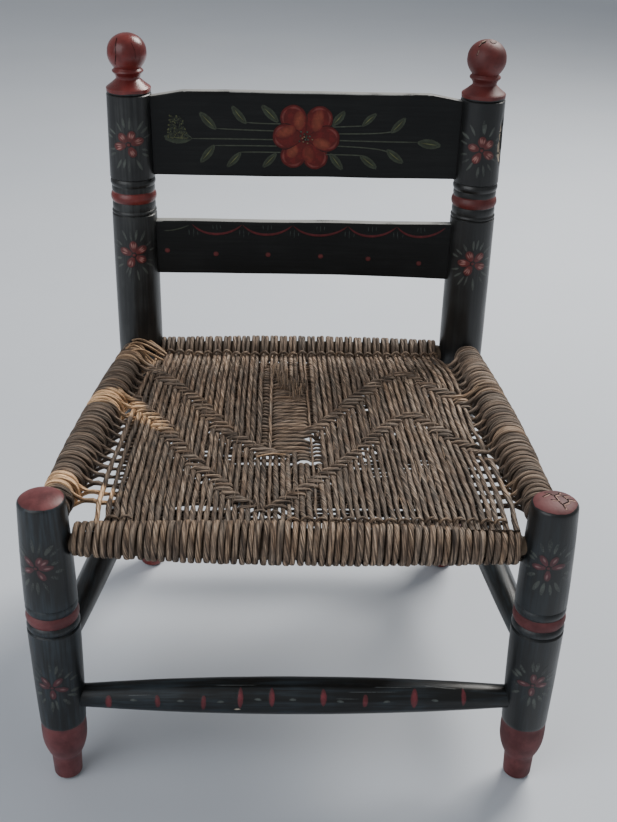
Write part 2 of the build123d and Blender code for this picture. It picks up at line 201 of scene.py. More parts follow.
def painted_wood(name, brushed, dust_and_light, red_heights=(), reds=REAR_REDS, rim=RUBBED, gloss=0.5,
                 dust_and_sky=REAR_DUST, red_matt=0.0):
    """Paint with its dust and painted light, its red lengths, its rubbed rims (a painted highlight too on
    the slats) and its bare places.
    """
    material, tree, surface = new_material(name, gloss)
    where = node(tree, "TexCoord").outputs["Object"]
    colour, streak, cloud = black_coat(tree, where, brushed, dust_and_light, dust_and_sky)
    red_mottle = grain_noise(tree, where, 48, rough=0.6)
    red = blend_colours(tree, stepped(tree, red_mottle, 0.35, 0.68), *reds)
    red = blend_colours(tree, stepped(tree, grain_noise(tree, where, 260), 0.62, 0.76, 0.0, 0.5), red, GRIME)
    matt = 0.0
    if red_heights:
        is_red = red_lengths(tree, where, red_heights)
        colour = blend_colours(tree, is_red, colour, red)
        matt = math_node(tree, "MULTIPLY", is_red, red_matt)
    speck = grain_noise(tree, where, 900, detail=3.0, rough=0.7)
    wear = node(tree, "Attribute", attribute_name="wear").outputs["Fac"]
    rubbed_and_lit = plus_share(tree, plus_share(tree, wear, speck, 0.55), cloud, 0.35)
    colour = blend_colours(tree, stepped(tree, rubbed_and_lit, 1.08, 1.36, 0.0, 0.8), colour, rim)
    bare = node(tree, "Attribute", attribute_name="bare").outputs["Fac"]
    wood = blend_colours(tree, streak, BARE_WOOD, BARE_GRAIN)
    flaked = plus_share(tree, bare, speck, 0.3)
    colour = blend_colours(tree, stepped(tree, flaked, 0.52, 0.66), colour, wood)
    roughness = math_node(tree, "ADD", stepped(tree, cloud, 0.3, 0.7, 0.30, 0.44), matt)
    roughness = plus_share(tree, roughness, bare, 0.3)
    feed(tree, surface, colour, roughness, plus_share(tree, streak, speck, 0.4), PAINT_RELIEF)
    return material


FRONT_RED = [(-1, 60.4), (161.7, 171.0), (266.6, 300)]      # foot, band and crown, from height to height
REAR_RED = [(-1, 60.4), (395.8, 404.3), (490.6, 560)]       # foot, band and finial
# The dust amounts and the red brightness of each post also carry painted light and shade: the left posts are
# painted lighter, as if lit, and the right posts darker, as painted shade.
COATS = {   # post: how dusty, the dust, red heights, reds, how bright the reds are, how matt they are
    "front_left_post": (0.90, FRONT_DUST_AND_SKY, FRONT_RED, SHADED_FRONT_REDS, 1.05, 0.10),
    "front_right_post": (0.40, FRONT_DUST_AND_SKY, FRONT_RED, SHADED_FRONT_REDS, 0.85, 0.30),
    "rear_left_post": (1.00, REAR_DUST, REAR_RED, REAR_REDS, 1.0, -0.07),
    "rear_right_post": (0.30, REAR_DUST, REAR_RED, REAR_REDS, 0.72, 0.14),
}
post_paints = {}
for post_name, (dust_and_light, dust_and_sky, heights, reds, bright, red_matt) in COATS.items():
    reds = [(*(part * bright for part in red[:3]), 1) for red in reds]
    post_paints[post_name] = painted_wood("paint_" + post_name, ALONG_Z, dust_and_light, heights, reds,
                                          dust_and_sky=dust_and_sky, red_matt=red_matt)
slat_paint = painted_wood("paint_slats", ALONG_X, DUSTY_SLAT, rim=RUBBED_AND_SUNLIT_RIM, gloss=SLAT_GLOSS)
bar_facts = {"dust_and_light": DUSTY_BAR, "gloss": BAR_GLOSS, "dust_and_sky": FRONT_DUST_AND_SKY}
cross_paint = painted_wood("paint_cross_stretchers", ALONG_X, **bar_facts)
side_paint = painted_wood("paint_side_stretchers", ALONG_Y, **bar_facts)
print("painted wood materials:", [m.name for m in bpy.data.materials])

# %% [markdown]
# ## From a bmesh to a finished piece
# All pieces end the same way: millimetres become metres, faces are smooth except across sharp
# arrises, and the piece rides on the chair's one body and takes the place of its CAD node.
# "wear" is measured from the shape itself: where the neighbours of a point lie behind it, the
# surface is convex, and hands and trousers have rubbed it.

# %% Helpers for pieces
surfaces = {}       # the wooden pieces that the brush will paint on


def mark_wear(bm, gain=2.6, offset=0.06):
    """Store how much each point sticks out, which is where paint wears first."""
    bm.normal_update()
    wear = bm.verts.layers.float.new("wear")
    bm.verts.layers.float.new("bare")
    for point in bm.verts:
        ways = [(edge.other_vert(point).co - point.co).normalized() for edge in point.link_edges]
        hollow = [way.dot(point.normal) for way in ways]
        point[wear] = min(max((-sum(hollow) / len(hollow) - offset) * gain, 0.0), 1.0)


def spun(bm, points, axis, steps):
    """Join the points of an outline and spin it a full turn, as a lathe does, without a seam."""
    edges = [bm.edges.new(pair) for pair in zip(points, points[1:])]
    bmesh.ops.spin(bm, geom=points + edges, cent=(0, 0, 0), axis=axis, angle=math.tau, steps=steps,
                   use_merge=True)
    bmesh.ops.remove_doubles(bm, verts=bm.verts, dist=0.005)
    bmesh.ops.recalc_face_normals(bm, faces=bm.faces)


def soften(bm, edges, width, segments):
    """Round off arrises, as sandpaper does."""
    bmesh.ops.bevel(bm, geom=edges, offset=width, offset_type="OFFSET", affect="EDGES",
                    segments=segments, profile=0.5, material=-1)


def finished(bm, name, material, stands_for=(), sharp=38):
    """Scale to metres, smooth, and hang the piece on the chair."""
    bmesh.ops.scale(bm, vec=(MM, MM, MM), verts=bm.verts)
    for edge in bm.edges:
        edge.smooth = not edge.is_manifold or edge.calc_face_angle(0) < math.radians(sharp)
    mesh = bpy.data.meshes.new(name)
    bm.to_mesh(mesh)
    bm.free()
    mesh.shade_smooth()
    mesh.materials.append(material)
    piece = bpy.data.objects.new(name, mesh)
    bpy.context.scene.collection.objects.link(piece)
    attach(piece, "root")
    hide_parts(*stands_for)
    print(name, len(mesh.polygons), "faces, size in mm", [round(v / MM, 1) for v in piece.dimensions])
    return piece

# %% [markdown]
# ## Turned posts
# A post comes off a lathe, so its shape is one outline spun about its axis. The outline is a
# list of (radius, height) places. Straight parts need few places and curves need many, so a
# helper draws a curve through three places, and another makes a rounded ring between two
# grooves. The last places form the dome on top.

# %% Outlines of the posts
POST_RADIUS, WAIST_RADIUS, GROOVE = 20.4, 20.0, 1.1


def through(start, middle, end, spacing=2.0):
    """Places on the curve through three places, the start left out."""
    count = max(4, round(math.dist(start, end) / spacing))
    places = []
    for step in range(1, count + 1):
        t = step / count
        pulls = list(zip(((2 * t - 1) * (t - 1), 4 * t * (1 - t), t * (2 * t - 1)), (start, middle, end)))
        places.append(tuple(sum(pull * place[axis] for pull, place in pulls) for axis in (0, 1)))
    return places


def bowed(places, end, bulge, spacing=3.0):
    """Go on from the last place in a curve whose middle stands out by the bulge."""
    start = places[-1]
    middle = ((start[0] + end[0]) / 2 + bulge, (start[1] + end[1]) / 2)
    places.extend(through(start, middle, end, spacing))


def ring(places, height, crown):
    """A turned ring or hollow, from the last groove to the next."""
    groove = WAIST_RADIUS - GROOVE
    low = places[-1][1]
    places.extend(through((groove, low), (crown, low + height / 2), (groove, low + height), 1.0))


def dome(places, radius, low, top):
    """A quarter ellipse up to the middle of the post."""
    for degrees in range(10, 91, 8):
        turn = math.radians(degrees)
        places.append((radius * math.cos(turn), low + (top - low) * math.sin(turn)))
    places.append((0, top))


def foot_outline():
    places = [(0, 0), (7.5, 0)]
    bowed(places, (11.4, 4.5), 1.1, 1.0)
    bowed(places, (12.1, 23.5), 0.0)
    bowed(places, (18.0, 47.0), 1.6)
    bowed(places, (17.6, 59.6), 0.3)
    places.append((18.2, 60.8))
    return places


def front_outline():
    places = foot_outline()
    bowed(places, (POST_RADIUS, 153.4), 0.3)
    places.append((WAIST_RADIUS - GROOVE, 154.5))
    ring(places, 7.0, POST_RADIUS)
    ring(places, 9.6, POST_RADIUS)
    ring(places, 7.0, WAIST_RADIUS)
    places.append((WAIST_RADIUS, 179.2))
    bowed(places, (17.7, 265.0), 0.5)
    dome(places, 17.7, 265.0, 271.0)
    return places


def rear_outline():
    places = foot_outline()
    bowed(places, (WAIST_RADIUS, 383.9), 1.1)
    places.append((WAIST_RADIUS - GROOVE, 385.0))
    rings = (3.6, WAIST_RADIUS), (7.1, 19.3), (8.7, POST_RADIUS), (6.0, 19.2), (6.4, WAIST_RADIUS)
    for height, crown in rings:
        ring(places, height, crown)
    places.append((WAIST_RADIUS, 417.9))
    bowed(places, (19.3, 489.4), 0.0)
    places.extend([(18.1, 490.5), (19.0, 491.2), (19.2, 494.6), (18.7, 495.3)])
    bowed(places, (10.4, 502.0), -0.3, 1.5)
    bowed(places, (11.9, 506.4), -0.5, 1.0)
    bowed(places, (12.0, 510.2), 1.5, 1.0)
    places.append((11.5, 511.0))
    bowed(places, (16.7, 524.5), 1.7, 1.5)
    dome(places, 16.7, 524.5, 539.5)
    return places


print("front outline", len(front_outline()), "places; rear outline", len(rear_outline()), "places")

# %% [markdown]
# Spin is Blender's lathe. It turns the outline a full circle and merges the last copy with the
# first. A real hand-turned post isn't perfect, so slow noise moves the surface in and out by a
# tenth or two of a millimetre. Chips are dents with bare wood in them.

# %% Turn the posts
FRONT_X, FRONT_Y, REAR_Y = 186.5, -148.0, 148.0     # axes of the posts
REAR_LEFT_X, REAR_RIGHT_X = -146.5, 158.5
POSTS = {
    "front_left_post": (-FRONT_X, FRONT_Y, front_outline),
    "front_right_post": (FRONT_X, FRONT_Y, front_outline),
    "rear_left_post": (REAR_LEFT_X, REAR_Y, rear_outline),
    "rear_right_post": (REAR_RIGHT_X, REAR_Y, rear_outline),
}
CHIPS = {   # post: (angle round the post in degrees, height, half width, half height, depth)
    "rear_right_post": [(-23, 462, 5.0, 12, 3.0), (-28, 449, 4.6, 8, 3.0), (-19, 441, 4.0, 5, 2.0)],
    "front_left_post": [(-98, 122, 1.1, 0.9, 0.3)],
}
UNEVEN = 0.008      # the lathe's unevenness, as a share of the radius


def chip(bm, x, y, chips):
    """Dent the surface and bare the wood round each place."""
    bare = bm.verts.layers.float["bare"]
    for angle, height, half_width, half_height, depth in chips:
        for point in bm.verts:
            turn = math.degrees(math.atan2(point.co.y - y, point.co.x - x)) - angle
            turn = (turn + 180) % 360 - 180
            sideways = math.radians(turn) * POST_RADIUS
            away = math.hypot(sideways / half_width, (point.co.z - height) / half_height)
            if away < 1.3:
                amount = max(0.0, 1 - away * away * (0.7 + 0.6 * noise.noise(point.co * 0.7)))
                outward = (point.co.xy - Vector((x, y))).normalized()
                point.co.xy -= outward * depth * min(1.0, 2 * amount)
                point[bare] = min(1.0, point[bare] + 1.4 * amount)


def turn_post(name, x, y, outline):
    bm = bmesh.new()
    spun(bm, [bm.verts.new((radius, 0, height)) for radius, height in outline()], (0, 0, 1), 80)
    for point in bm.verts:
        slow = Vector((point.co.x * 0.04 + x, point.co.y * 0.04, point.co.z * 0.03))
        point.co.xy *= 1 - UNEVEN * (0.5 + 0.5 * noise.noise(slow))
    bmesh.ops.translate(bm, vec=(x, y, 0), verts=bm.verts)
    mark_wear(bm)
    chip(bm, x, y, CHIPS.get(name, ()))
    surfaces[name] = BVHTree.FromBMesh(bm)
    return finished(bm, name + "_turned", post_paints[name], [name])


for post_name, post_facts in POSTS.items():
    turn_post(post_name, *post_facts)

# %% [markdown]
# ## Slats of the back
# Both slats are thin boards planed by hand, let into the posts. A grid gives the face, its top
# corners are pulled down for the slopes, the grid is extruded to its thickness, and a bevel
# softens the rim, most of all at the back of its top. The top rim is painted pale along its
# whole length: paint rubbed nearly bare, and a painted highlight of the light on the top.

# %% Make the slats
SLAT_CENTRE_X, SLAT_Y = (REAR_LEFT_X + REAR_RIGHT_X) / 2, REAR_Y
SLAT_THICKNESS, SLAT_HALF = 11.0, 144.0
SLAT_FRONT_Y = SLAT_Y - SLAT_THICKNESS / 2
SLAT_FREE_HALF = (REAR_RIGHT_X - REAR_LEFT_X) / 2 - POST_RADIUS     # up to where a post hides it
RIM_SOFT, REAR_SOFT, LOWER_SAG = 1.5, 3.8, 3.0
SLATS = {   # name: (bottom, height, height at the ends, length of the slope)
    "top_slat": (419.6, 73.8, 68.9, 26.0),
    "lower_slat": (327.6, 50.1, 50.1, 0.0),
}


def on_rear_top(edge, above):
    """True for an arris that runs along the top of the board's rear face."""
    first, second = (point.co for point in edge.verts)
    return min(first.y, second.y) > SLAT_Y and min(first.z, second.z) > above and first.x != second.x


def board(name, bottom, height, end_height, slope):
    bm = bmesh.new()
    face = bmesh.ops.create_grid(bm, x_segments=96, y_segments=18, size=0.5)["verts"]
    for point in face:
        x = point.co.x * 2 * SLAT_HALF
        drop = min(1.0, max(0.0, (abs(x) - (SLAT_FREE_HALF - slope)) / slope)) if slope else 0.0
        top = height - drop * (height - end_height)
        point.co = Vector((x + SLAT_CENTRE_X, SLAT_FRONT_Y, bottom + (point.co.y + 0.5) * top))
    walls = bmesh.ops.extrude_face_region(bm, geom=list(bm.faces))["geom"]
    rear_points = [part for part in walls if isinstance(part, bmesh.types.BMVert)]
    bmesh.ops.translate(bm, vec=(0, SLAT_THICKNESS, 0), verts=rear_points)
    bmesh.ops.recalc_face_normals(bm, faces=bm.faces)
    sharp_edges = [edge for edge in bm.edges if edge.calc_face_angle(0) > 1.0]
    soften(bm, [edge for edge in sharp_edges if on_rear_top(edge, bottom + height / 2)], REAR_SOFT, 4)
    soften(bm, [edge for edge in bm.edges if edge.calc_face_angle(0) > 1.0], RIM_SOFT, 3)
    for point in bm.verts:
        slow = Vector((point.co.x * 0.012, point.co.y * 0.02, point.co.z * 0.03))
        point.co.y += 0.35 * noise.noise(slow + Vector((3, 1, bottom)))
        point.co.z += 0.45 * noise.noise(Vector((point.co.x * 0.02, bottom, round(point.co.z / height))))
        if name == "lower_slat":     # its lower edge hangs at the right end
            low = 1 - (point.co.z - bottom) / height
            point.co.z -= LOWER_SAG * low * min(1.0, max(0.0, (point.co.x - 5) / 140)) ** 1.6
    mark_wear(bm, 2.2, 0.05)
    # the top faces get high wear: rubbed paint, and a painted highlight of the light on the top
    wear = bm.verts.layers.float["wear"]
    for point in bm.verts:
        if point.normal.z > 0.5:
            point[wear] = 0.92 + 0.28 * noise.noise(Vector((point.co.x * 0.06, point.co.y * 0.3, bottom)))
    surfaces[name] = BVHTree.FromBMesh(bm)
    return finished(bm, name + "_board", slat_paint, [name])


for slat_name, slat_facts in SLATS.items():
    board(slat_name, *slat_facts)

# %% [markdown]
# ## Stretchers
# The stretchers are shaved with a knife, so they have eight flats and swell in the middle.
# Spinning a bowed outline in eight steps about its own length gives exactly that. The arrises
# are bevelled, then slow noise makes the knife's flats uneven.

# %% Shave the stretchers
FLATS = 8
HALF_FLAT = math.pi / FLATS
FLAT_TO_CORNER = 1 / math.cos(HALF_FLAT)
BAR_END_HALF, BAR_HIDDEN, BAR_PLACES = 9.3, 14.0, 70    # BAR_HIDDEN: how far an end stays inside its post
STRETCHERS = {  # name: (start post, end post, height, half height of the swelled middle, paint)
    "front_stretcher": ("front_left_post", "front_right_post", 82.5, 14.8, cross_paint),
    "rear_stretcher": ("rear_left_post", "rear_right_post", 82.5, 12.0, cross_paint),
    "left_stretcher": ("front_left_post", "rear_left_post", 123.5, 12.0, side_paint),
    "right_stretcher": ("front_right_post", "rear_right_post", 123.5, 12.0, side_paint),
}


def shaved_bar(name, start_post, end_post, height, mid_half, material):
    start = Vector((*POSTS[start_post][:2], height))
    end = Vector((*POSTS[end_post][:2], height))
    length = (end - start).length
    bm = bmesh.new()
    points = [bm.verts.new((BAR_HIDDEN, 0, 0))]
    for step in range(BAR_PLACES + 1):
        along = BAR_HIDDEN + (length - 2 * BAR_HIDDEN) * step / BAR_PLACES
        bow = max(0.0, 1 - ((along - length / 2) / (length / 2 - POST_RADIUS)) ** 2)
        half = BAR_END_HALF + (mid_half - BAR_END_HALF) * bow
        points.append(bm.verts.new((along, 0, half * FLAT_TO_CORNER)))
    points.append(bm.verts.new((length - BAR_HIDDEN, 0, 0)))
    bmesh.ops.rotate(bm, cent=(0, 0, 0), matrix=Matrix.Rotation(HALF_FLAT, 3, "X"), verts=bm.verts)
    spun(bm, points, (1, 0, 0), FLATS)
    lengthwise = [edge for edge in bm.edges if abs((edge.verts[0].co - edge.verts[1].co).x) > 1]
    soften(bm, [edge for edge in lengthwise if edge.calc_face_angle(0) > 0.4], 2.4, 2)
    for point in bm.verts:
        seed = Vector((point.co.x * 0.03, point.co.y * 0.12, point.co.z * 0.12 + mid_half))
        point.co.yz *= 1 - 0.02 * (0.5 + 0.5 * noise.noise(seed))
    turn = math.atan2(end.y - start.y, end.x - start.x)
    bmesh.ops.rotate(bm, cent=(0, 0, 0), matrix=Matrix.Rotation(turn, 3, "Z"), verts=bm.verts)
    bmesh.ops.translate(bm, vec=start, verts=bm.verts)
    mark_wear(bm, 4.0, 0.06)
    surfaces[name] = BVHTree.FromBMesh(bm)
    return finished(bm, name + "_shaved", material, [name], sharp=30)


for bar_name, bar_places in STRETCHERS.items():
    shaved_bar(bar_name, *bar_places)

# %% [markdown]
# ## The painter's brush
# The flowers are quick strokes of thick paint. A stroke is a small grid: its long side follows
# a curve through a few control points, its width swells and shrinks, and each of its points is
# dropped onto the wood by a ray, so the stroke wraps round a post or lies flat on a slat. The
# stroke stands up about 0.15 mm in its middle, as brushed paint does. Its colour and its cover
# are kept on the points, and the material breaks up the thin cover at the rim with noise.

# %% Brush strokes
DROP_FROM = 45      # how far in front of the wood the rays start
TO_X, TO_Y, TO_Z = (1, 0, 0), (0, 1, 0), (0, 0, 1)


def canvas(name, centre, across=TO_X, up=TO_Z):
    """Give back a function that drops a point of the drawing onto the named piece of wood."""
    centre, across, up = Vector(centre), Vector(across), Vector(up)
    outward = across.cross(up).normalized()

    def drop(place, lift):
        start = centre + across * place.x + up * place.y + outward * DROP_FROM
        hit, normal, _, _ = surfaces[name].ray_cast(start, -outward)
        if hit is None:
            hit, normal, _, _ = surfaces[name].find_nearest(start - outward * DROP_FROM)
        return hit + normal * lift
    return drop


def on_curve(points, t):
    """A place on the smooth curve that the control points pull on."""
    points = [Vector(p) for p in points]
    while len(points) > 1:
        points = [a.lerp(b, t) for a, b in zip(points, points[1:])]
    return points[0]


def leaf_width(t):
    return math.sin(math.pi * t) ** 0.8


def line_width(t):
    return min(1.0, 8 * t, 8 * (1 - t)) ** 0.5


def swag_width(t):
    return (0.55 + 0.45 * math.sin(math.pi * t)) * line_width(t)


def petal_width(t):
    return math.sin(math.pi * t ** 1.3) ** 0.6


def round_width(t):
    return max(0.0, 1 - (2 * t - 1) ** 2) ** 0.5


def fan_width(t):
    """Narrow at the heart of the flower, widest past the middle, round at the end."""
    if t < 0.6:
        return 0.16 + 0.84 * math.sin(math.pi / 2 * t / 0.6) ** 1.3
    return max(0.0, 1 - ((t - 0.6) / 0.4) ** 2) ** 0.5


def stroke(bm, drop, path, half_width, shape, rim, middle, cover=1.0, fade=0.0, thick=0.12, lift=0.04,
           fine=(14, 6), crisp=2.2, tips=8, soft=1.2, solid=False):
    """One brush stroke: rim and middle are colours, fade thins the paint towards the end."""
    paint = bm.verts.layers.float_color["paint"]
    grid = bmesh.ops.create_grid(bm, x_segments=fine[0], y_segments=fine[1], size=1.0)["verts"]
    for point in grid:
        t, side = (point.co.x + 1) / 2, point.co.y
        here = on_curve(path, t)
        ahead = on_curve(path, min(1.0, t + 0.02)) - on_curve(path, max(0.0, t - 0.02))
        across = Vector((-ahead.y, ahead.x)).normalized()
        width = max(half_width * shape(t), 0.12)
        hump = max(0.0, 1 - side * side)
        ends = min(1.0, tips * t, tips * (1 - t))
        strength = cover if solid else cover * (1 - fade * t) * min(1.0, crisp * hump) * ends
        light = hump ** soft * max(0.0, math.sin(math.pi * t)) ** (0.6 * soft)
        colour = [r + (m - r) * light for r, m in zip(rim, middle)]
        point.co = drop(here + across * side * width, lift + thick * hump ** 0.6 * ends)
        point[paint] = (*colour, strength)


def dot(bm, drop, place, radius, rim, middle, cover=1.0, **how):
    """A dab with the tip of the brush: a very short, round stroke."""
    x, y = place
    stroke(bm, drop, [(x - radius, y), (x + radius, y)], radius, round_width, rim, middle, cover,
           **{"fine": (8, 6), **how})


def new_painting():
    """An empty mesh for strokes, with room for their colours."""
    bm = bmesh.new()
    bm.verts.layers.float_color.new("paint")
    return bm


def dry(bm, name, paint):
    """Finish the strokes of one painting; nothing in it has a sharp edge."""
    return finished(bm, name, paint, sharp=180)

# %% [markdown]
# The paint of the strokes lies over the same black, so the stroke material mixes the black
# coat with the stroke's own colour by its cover. Noise drawn out along the brush's way makes
# the dry, broken rims.

# %% Stroke paint
UNDER_RED = (0.012, 0.008, 0.007, 1)        # what shows through a thin place of a stroke
STROKE_RELIEF = 0.08 * MM


def stroke_paint(name, brushed, dust_and_light, gloss=0.5, dust_and_sky=REAR_DUST, rough=(0.32, 0.46)):
    """The black coat below, the stroke's colour above, and broken rims between them."""
    material, tree, surface = new_material(name, gloss)
    where = node(tree, "TexCoord").outputs["Object"]
    under, _, cloud = black_coat(tree, where, brushed, dust_and_light, dust_and_sky)
    paint = node(tree, "Attribute", attribute_name="paint")
    bristle = grain_noise(tree, where, 1300, (1, 1, 0.5), rough=0.65)
    tone = grain_noise(tree, where, 190, detail=3.0)
    broken = plus_share(tree, paint.outputs["Alpha"], math_node(tree, "SUBTRACT", bristle, 0.5), 0.9)
    worn = blend_colours(tree, 0.28, paint.outputs["Color"], UNDER_RED)
    shade = blend_colours(tree, stepped(tree, tone, 0.42, 0.62), worn, paint.outputs["Color"])
    colour = blend_colours(tree, stepped(tree, broken, 0.26, 0.60), under, shade)
    feed(tree, surface, colour, stepped(tree, cloud, 0.3, 0.7, *rough), bristle, STROKE_RELIEF)
    return material


post_strokes = {}
for post_name, coat in COATS.items():
    post_strokes[post_name] = stroke_paint("strokes_on_" + post_name, ALONG_Z, coat[0], dust_and_sky=coat[1])
bar_strokes = stroke_paint("strokes_on_stretcher", ALONG_X, DUSTY_BAR, BAR_GLOSS, FRONT_DUST_AND_SKY)
crack_paint = stroke_paint("dry_cracks", (1, 1, 1), 0.0, 0.10, rough=(0.8, 0.9))
slat_strokes = stroke_paint("strokes_on_slats", ALONG_X, DUSTY_SLAT, SLAT_GLOSS)
print("stroke paints:", len(post_strokes) + 3)

# %% [markdown]
# ### Flowers on the posts
# Each post carries two small flowers. A petal is a few strokes over each other: a dark one for
# the outline, a red one, and pale touches on top, three on a rear post and one on a front post.
# The painter set the petals by eye, so their directions are listed for each flower, in degrees.
# Grey green leaves spread all round.

# %% Paint the post flowers
OUTLINE, PETAL_RIM = (0.010, 0.004, 0.004), (0.060, 0.0065, 0.0070)
REAR_PETAL, REAR_PALE = (0.130, 0.020, 0.018), (0.36, 0.170, 0.145)
FRONT_PETAL, FRONT_PALE = (0.082, 0.021, 0.027), (0.22, 0.120, 0.115)
LEAF_RIM, LEAF_MIDDLE = (0.028, 0.033, 0.029), (0.070, 0.080, 0.068)
REAR_STYLE = {      # half widths, distances from the heart, and how the pale touches swing
    "petal": 4.3, "inner": 1.2, "outer": 13.0, "pale": 0.85, "hatch": (-11, -1, 9), "leaf": 1.5,
    "near": 11.0, "strength": 1.0, "red": REAR_PETAL, "light": REAR_PALE, "heart": 1.7}
FRONT_STYLE = {
    "petal": 3.0, "inner": 1.0, "outer": 12.0, "pale": 1.1, "hatch": (-2,), "leaf": 2.0,
    "near": 10.5, "strength": 0.75, "red": FRONT_PETAL, "light": FRONT_PALE, "heart": 1.4}
FLOWERS = [  # post, direction it faces in degrees, height, directions of the petals, style
    ("rear_left_post", -90, 449.8, (71, 130, 193, 294, 17), REAR_STYLE),
    ("rear_left_post", -90, 350.0, (92, 36, -34, 248, 160), REAR_STYLE),
    ("rear_right_post", -92, 449.9, (90, 40, -34, 243, 166), REAR_STYLE),
    ("rear_right_post", -88, 346.0, (113, 47, -22, 244, 180), REAR_STYLE),
    ("front_left_post", -103, 219.0, (66, 40, 2, -58, 138, 207), FRONT_STYLE),
    ("front_left_post", -95, 106.6, (50, 132, 178, -18, 270), FRONT_STYLE),
    ("front_right_post", -100, 222.0, (124, 61, 184, 8, 270), FRONT_STYLE),
    ("front_right_post", -97, 110.7, (92, 180, 0, 45, 269), FRONT_STYLE),
]
LEAF_DIRECTIONS = (94, 82, 62, 118, 140, 160, 38, 18, -22, -42, -64, -84, -100, -118, -140, -160)


def spoke(direction, near, far):
    """Start and end of a stroke that runs out from the flower's heart."""
    way = Vector((math.cos(math.radians(direction)), math.sin(math.radians(direction))))
    return [way * near, way * far]


def post_flower(bm, drop, petals, style):
    """Leaves first, then the petals over them, and the heart last."""
    for direction in LEAF_DIRECTIONS:
        direction += random.uniform(-6, 6)
        near = style["near"] + random.uniform(0, 3)
        far = near + 5.5 + 8.0 * abs(math.sin(math.radians(direction))) ** 2 * random.uniform(0.6, 1.2)
        start, end = spoke(direction, near, far)
        bend = (start + end) / 2 + Vector((random.uniform(-1, 1), 0))
        stroke(bm, drop, [start, bend, end], style["leaf"] * random.uniform(0.7, 1.1), leaf_width,
               LEAF_RIM, LEAF_MIDDLE, random.uniform(0.5, 0.95) * style["strength"], fade=0.4, thick=0.06,
               soft=0.6)
    for direction in petals:
        outer = style["outer"] * random.uniform(0.92, 1.04)
        stroke(bm, drop, spoke(direction, style["inner"] - 0.8, outer + 0.9), style["petal"] + 0.8,
               petal_width, OUTLINE, OUTLINE, cover=0.9, thick=0.04)
        stroke(bm, drop, spoke(direction, style["inner"], outer), style["petal"], petal_width, PETAL_RIM,
               style["red"], style["strength"], thick=0.1, lift=0.1, crisp=4, tips=16, soft=0.5)
        near, far = outer * 0.42, outer * 0.88
        for swing in style["hatch"]:
            swing += random.uniform(-3, 3)
            path = spoke(direction + swing, near, far * random.uniform(0.92, 1.04))
            stroke(bm, drop, path, style["pale"], leaf_width, style["red"], style["light"], thick=0.1,
                   lift=0.2, solid=True)
    dot(bm, drop, (0, 0), style["heart"] + 0.9, OUTLINE, OUTLINE, 0.9, lift=0.2)
    dot(bm, drop, (0, 0), style["heart"], PETAL_RIM, style["red"], style["strength"], lift=0.26)


for post_name in POSTS:
    painting = new_painting()
    for flower_post, facing, flower_height, petals, style in FLOWERS:
        if flower_post == post_name:
            facing = math.radians(facing + 90)
            middle = (*POSTS[post_name][:2], flower_height)
            sideways = (math.cos(facing), math.sin(facing), 0)
            post_flower(painting, canvas(post_name, middle, sideways), petals, style)
    dry(painting, post_name + "_flowers", post_strokes[post_name])

# %% [markdown]
# ### The flower and leaves on the top slat
# A large red flower with six round petals sits in the middle. Its petals overlap like roof
# tiles, so each is laid a little higher than the one before. Five thin stems run out of it on
# each side, with almond leaves that have a yellow rib, and an olive tuft stands on the long
# stem at the left.

# %% Paint the top slat
STEM_RIM, STEM_MIDDLE = (0.036, 0.042, 0.031), (0.068, 0.078, 0.057)
LEAF_EDGE, LEAF_FILL, LEAF_RIB = (0.062, 0.074, 0.050), (0.030, 0.038, 0.025), (0.130, 0.140, 0.062)
BIG_RIM, BIG_RED, BIG_ORANGE = (0.040, 0.0055, 0.0050), (0.135, 0.0165, 0.0150), (0.230, 0.058, 0.034)
BIG_PINK = (0.190, 0.050, 0.044)
STEMS = [   # control points of the stems, left side first
    [(-18, 466.6), (-36, 466.2), (-46, 467.4)], [(-23, 460.3), (-50, 460.6), (-73, 461.6)],
    [(-24, 452.7), (-60, 452.8), (-96, 452.4)], [(-22, 447.1), (-50, 447.2), (-75, 446.6)],
    [(-18, 441.5), (-36, 441.7), (-52, 441.2)], [(28, 464.4), (44, 465.2), (56, 466.0)],
    [(34, 458.6), (60, 458.9), (80, 459.2), (84, 463.0)], [(36, 452.9), (70, 452.0), (105, 452.5)],
    [(34, 447.9), (60, 447.2), (72, 446.0), (79, 443.0)], [(31, 440.2), (45, 440.4), (58, 439.6)],
]
LEAVES = [  # from the stem to the tip, half width
    ((-45, 465.5), (-59, 482.5), 3.6), ((-71, 460.0), (-87, 476.5), 3.9), ((-92, 452.4), (-119, 452.9), 5.4),
    ((-73, 448.0), (-87, 430.5), 3.7), ((-50, 442.0), (-64, 427), 3.3), ((-17.5, 467), (-34, 483.3), 3.9),
    ((-19, 441.5), (-32.5, 427), 3.3), ((54, 464.8), (67.5, 477.5), 3.0), ((27.4, 465), (39.6, 479.6), 3.6),
    ((79, 459.6), (92.5, 474.5), 3.6), ((102.5, 452.4), (125.5, 449.5), 4.5), ((76, 446.2), (93, 433), 3.9),
    ((53, 440.6), (70, 427.6), 3.7), ((26.5, 442), (39.4, 425.6), 3.6),
]
TUFT_FOOT, TUFT_HEIGHT, TUFT_DABS = (-104, 455), 20, 260      # the tuft on the long left stem
HEART_DABS = 15
HEART_SHADES = ((0.040, 0.055, 0.038), (0.22, 0.12, 0.07), (0.07, 0.09, 0.07))
BIG_FLOWER = (5.4, 454.7)
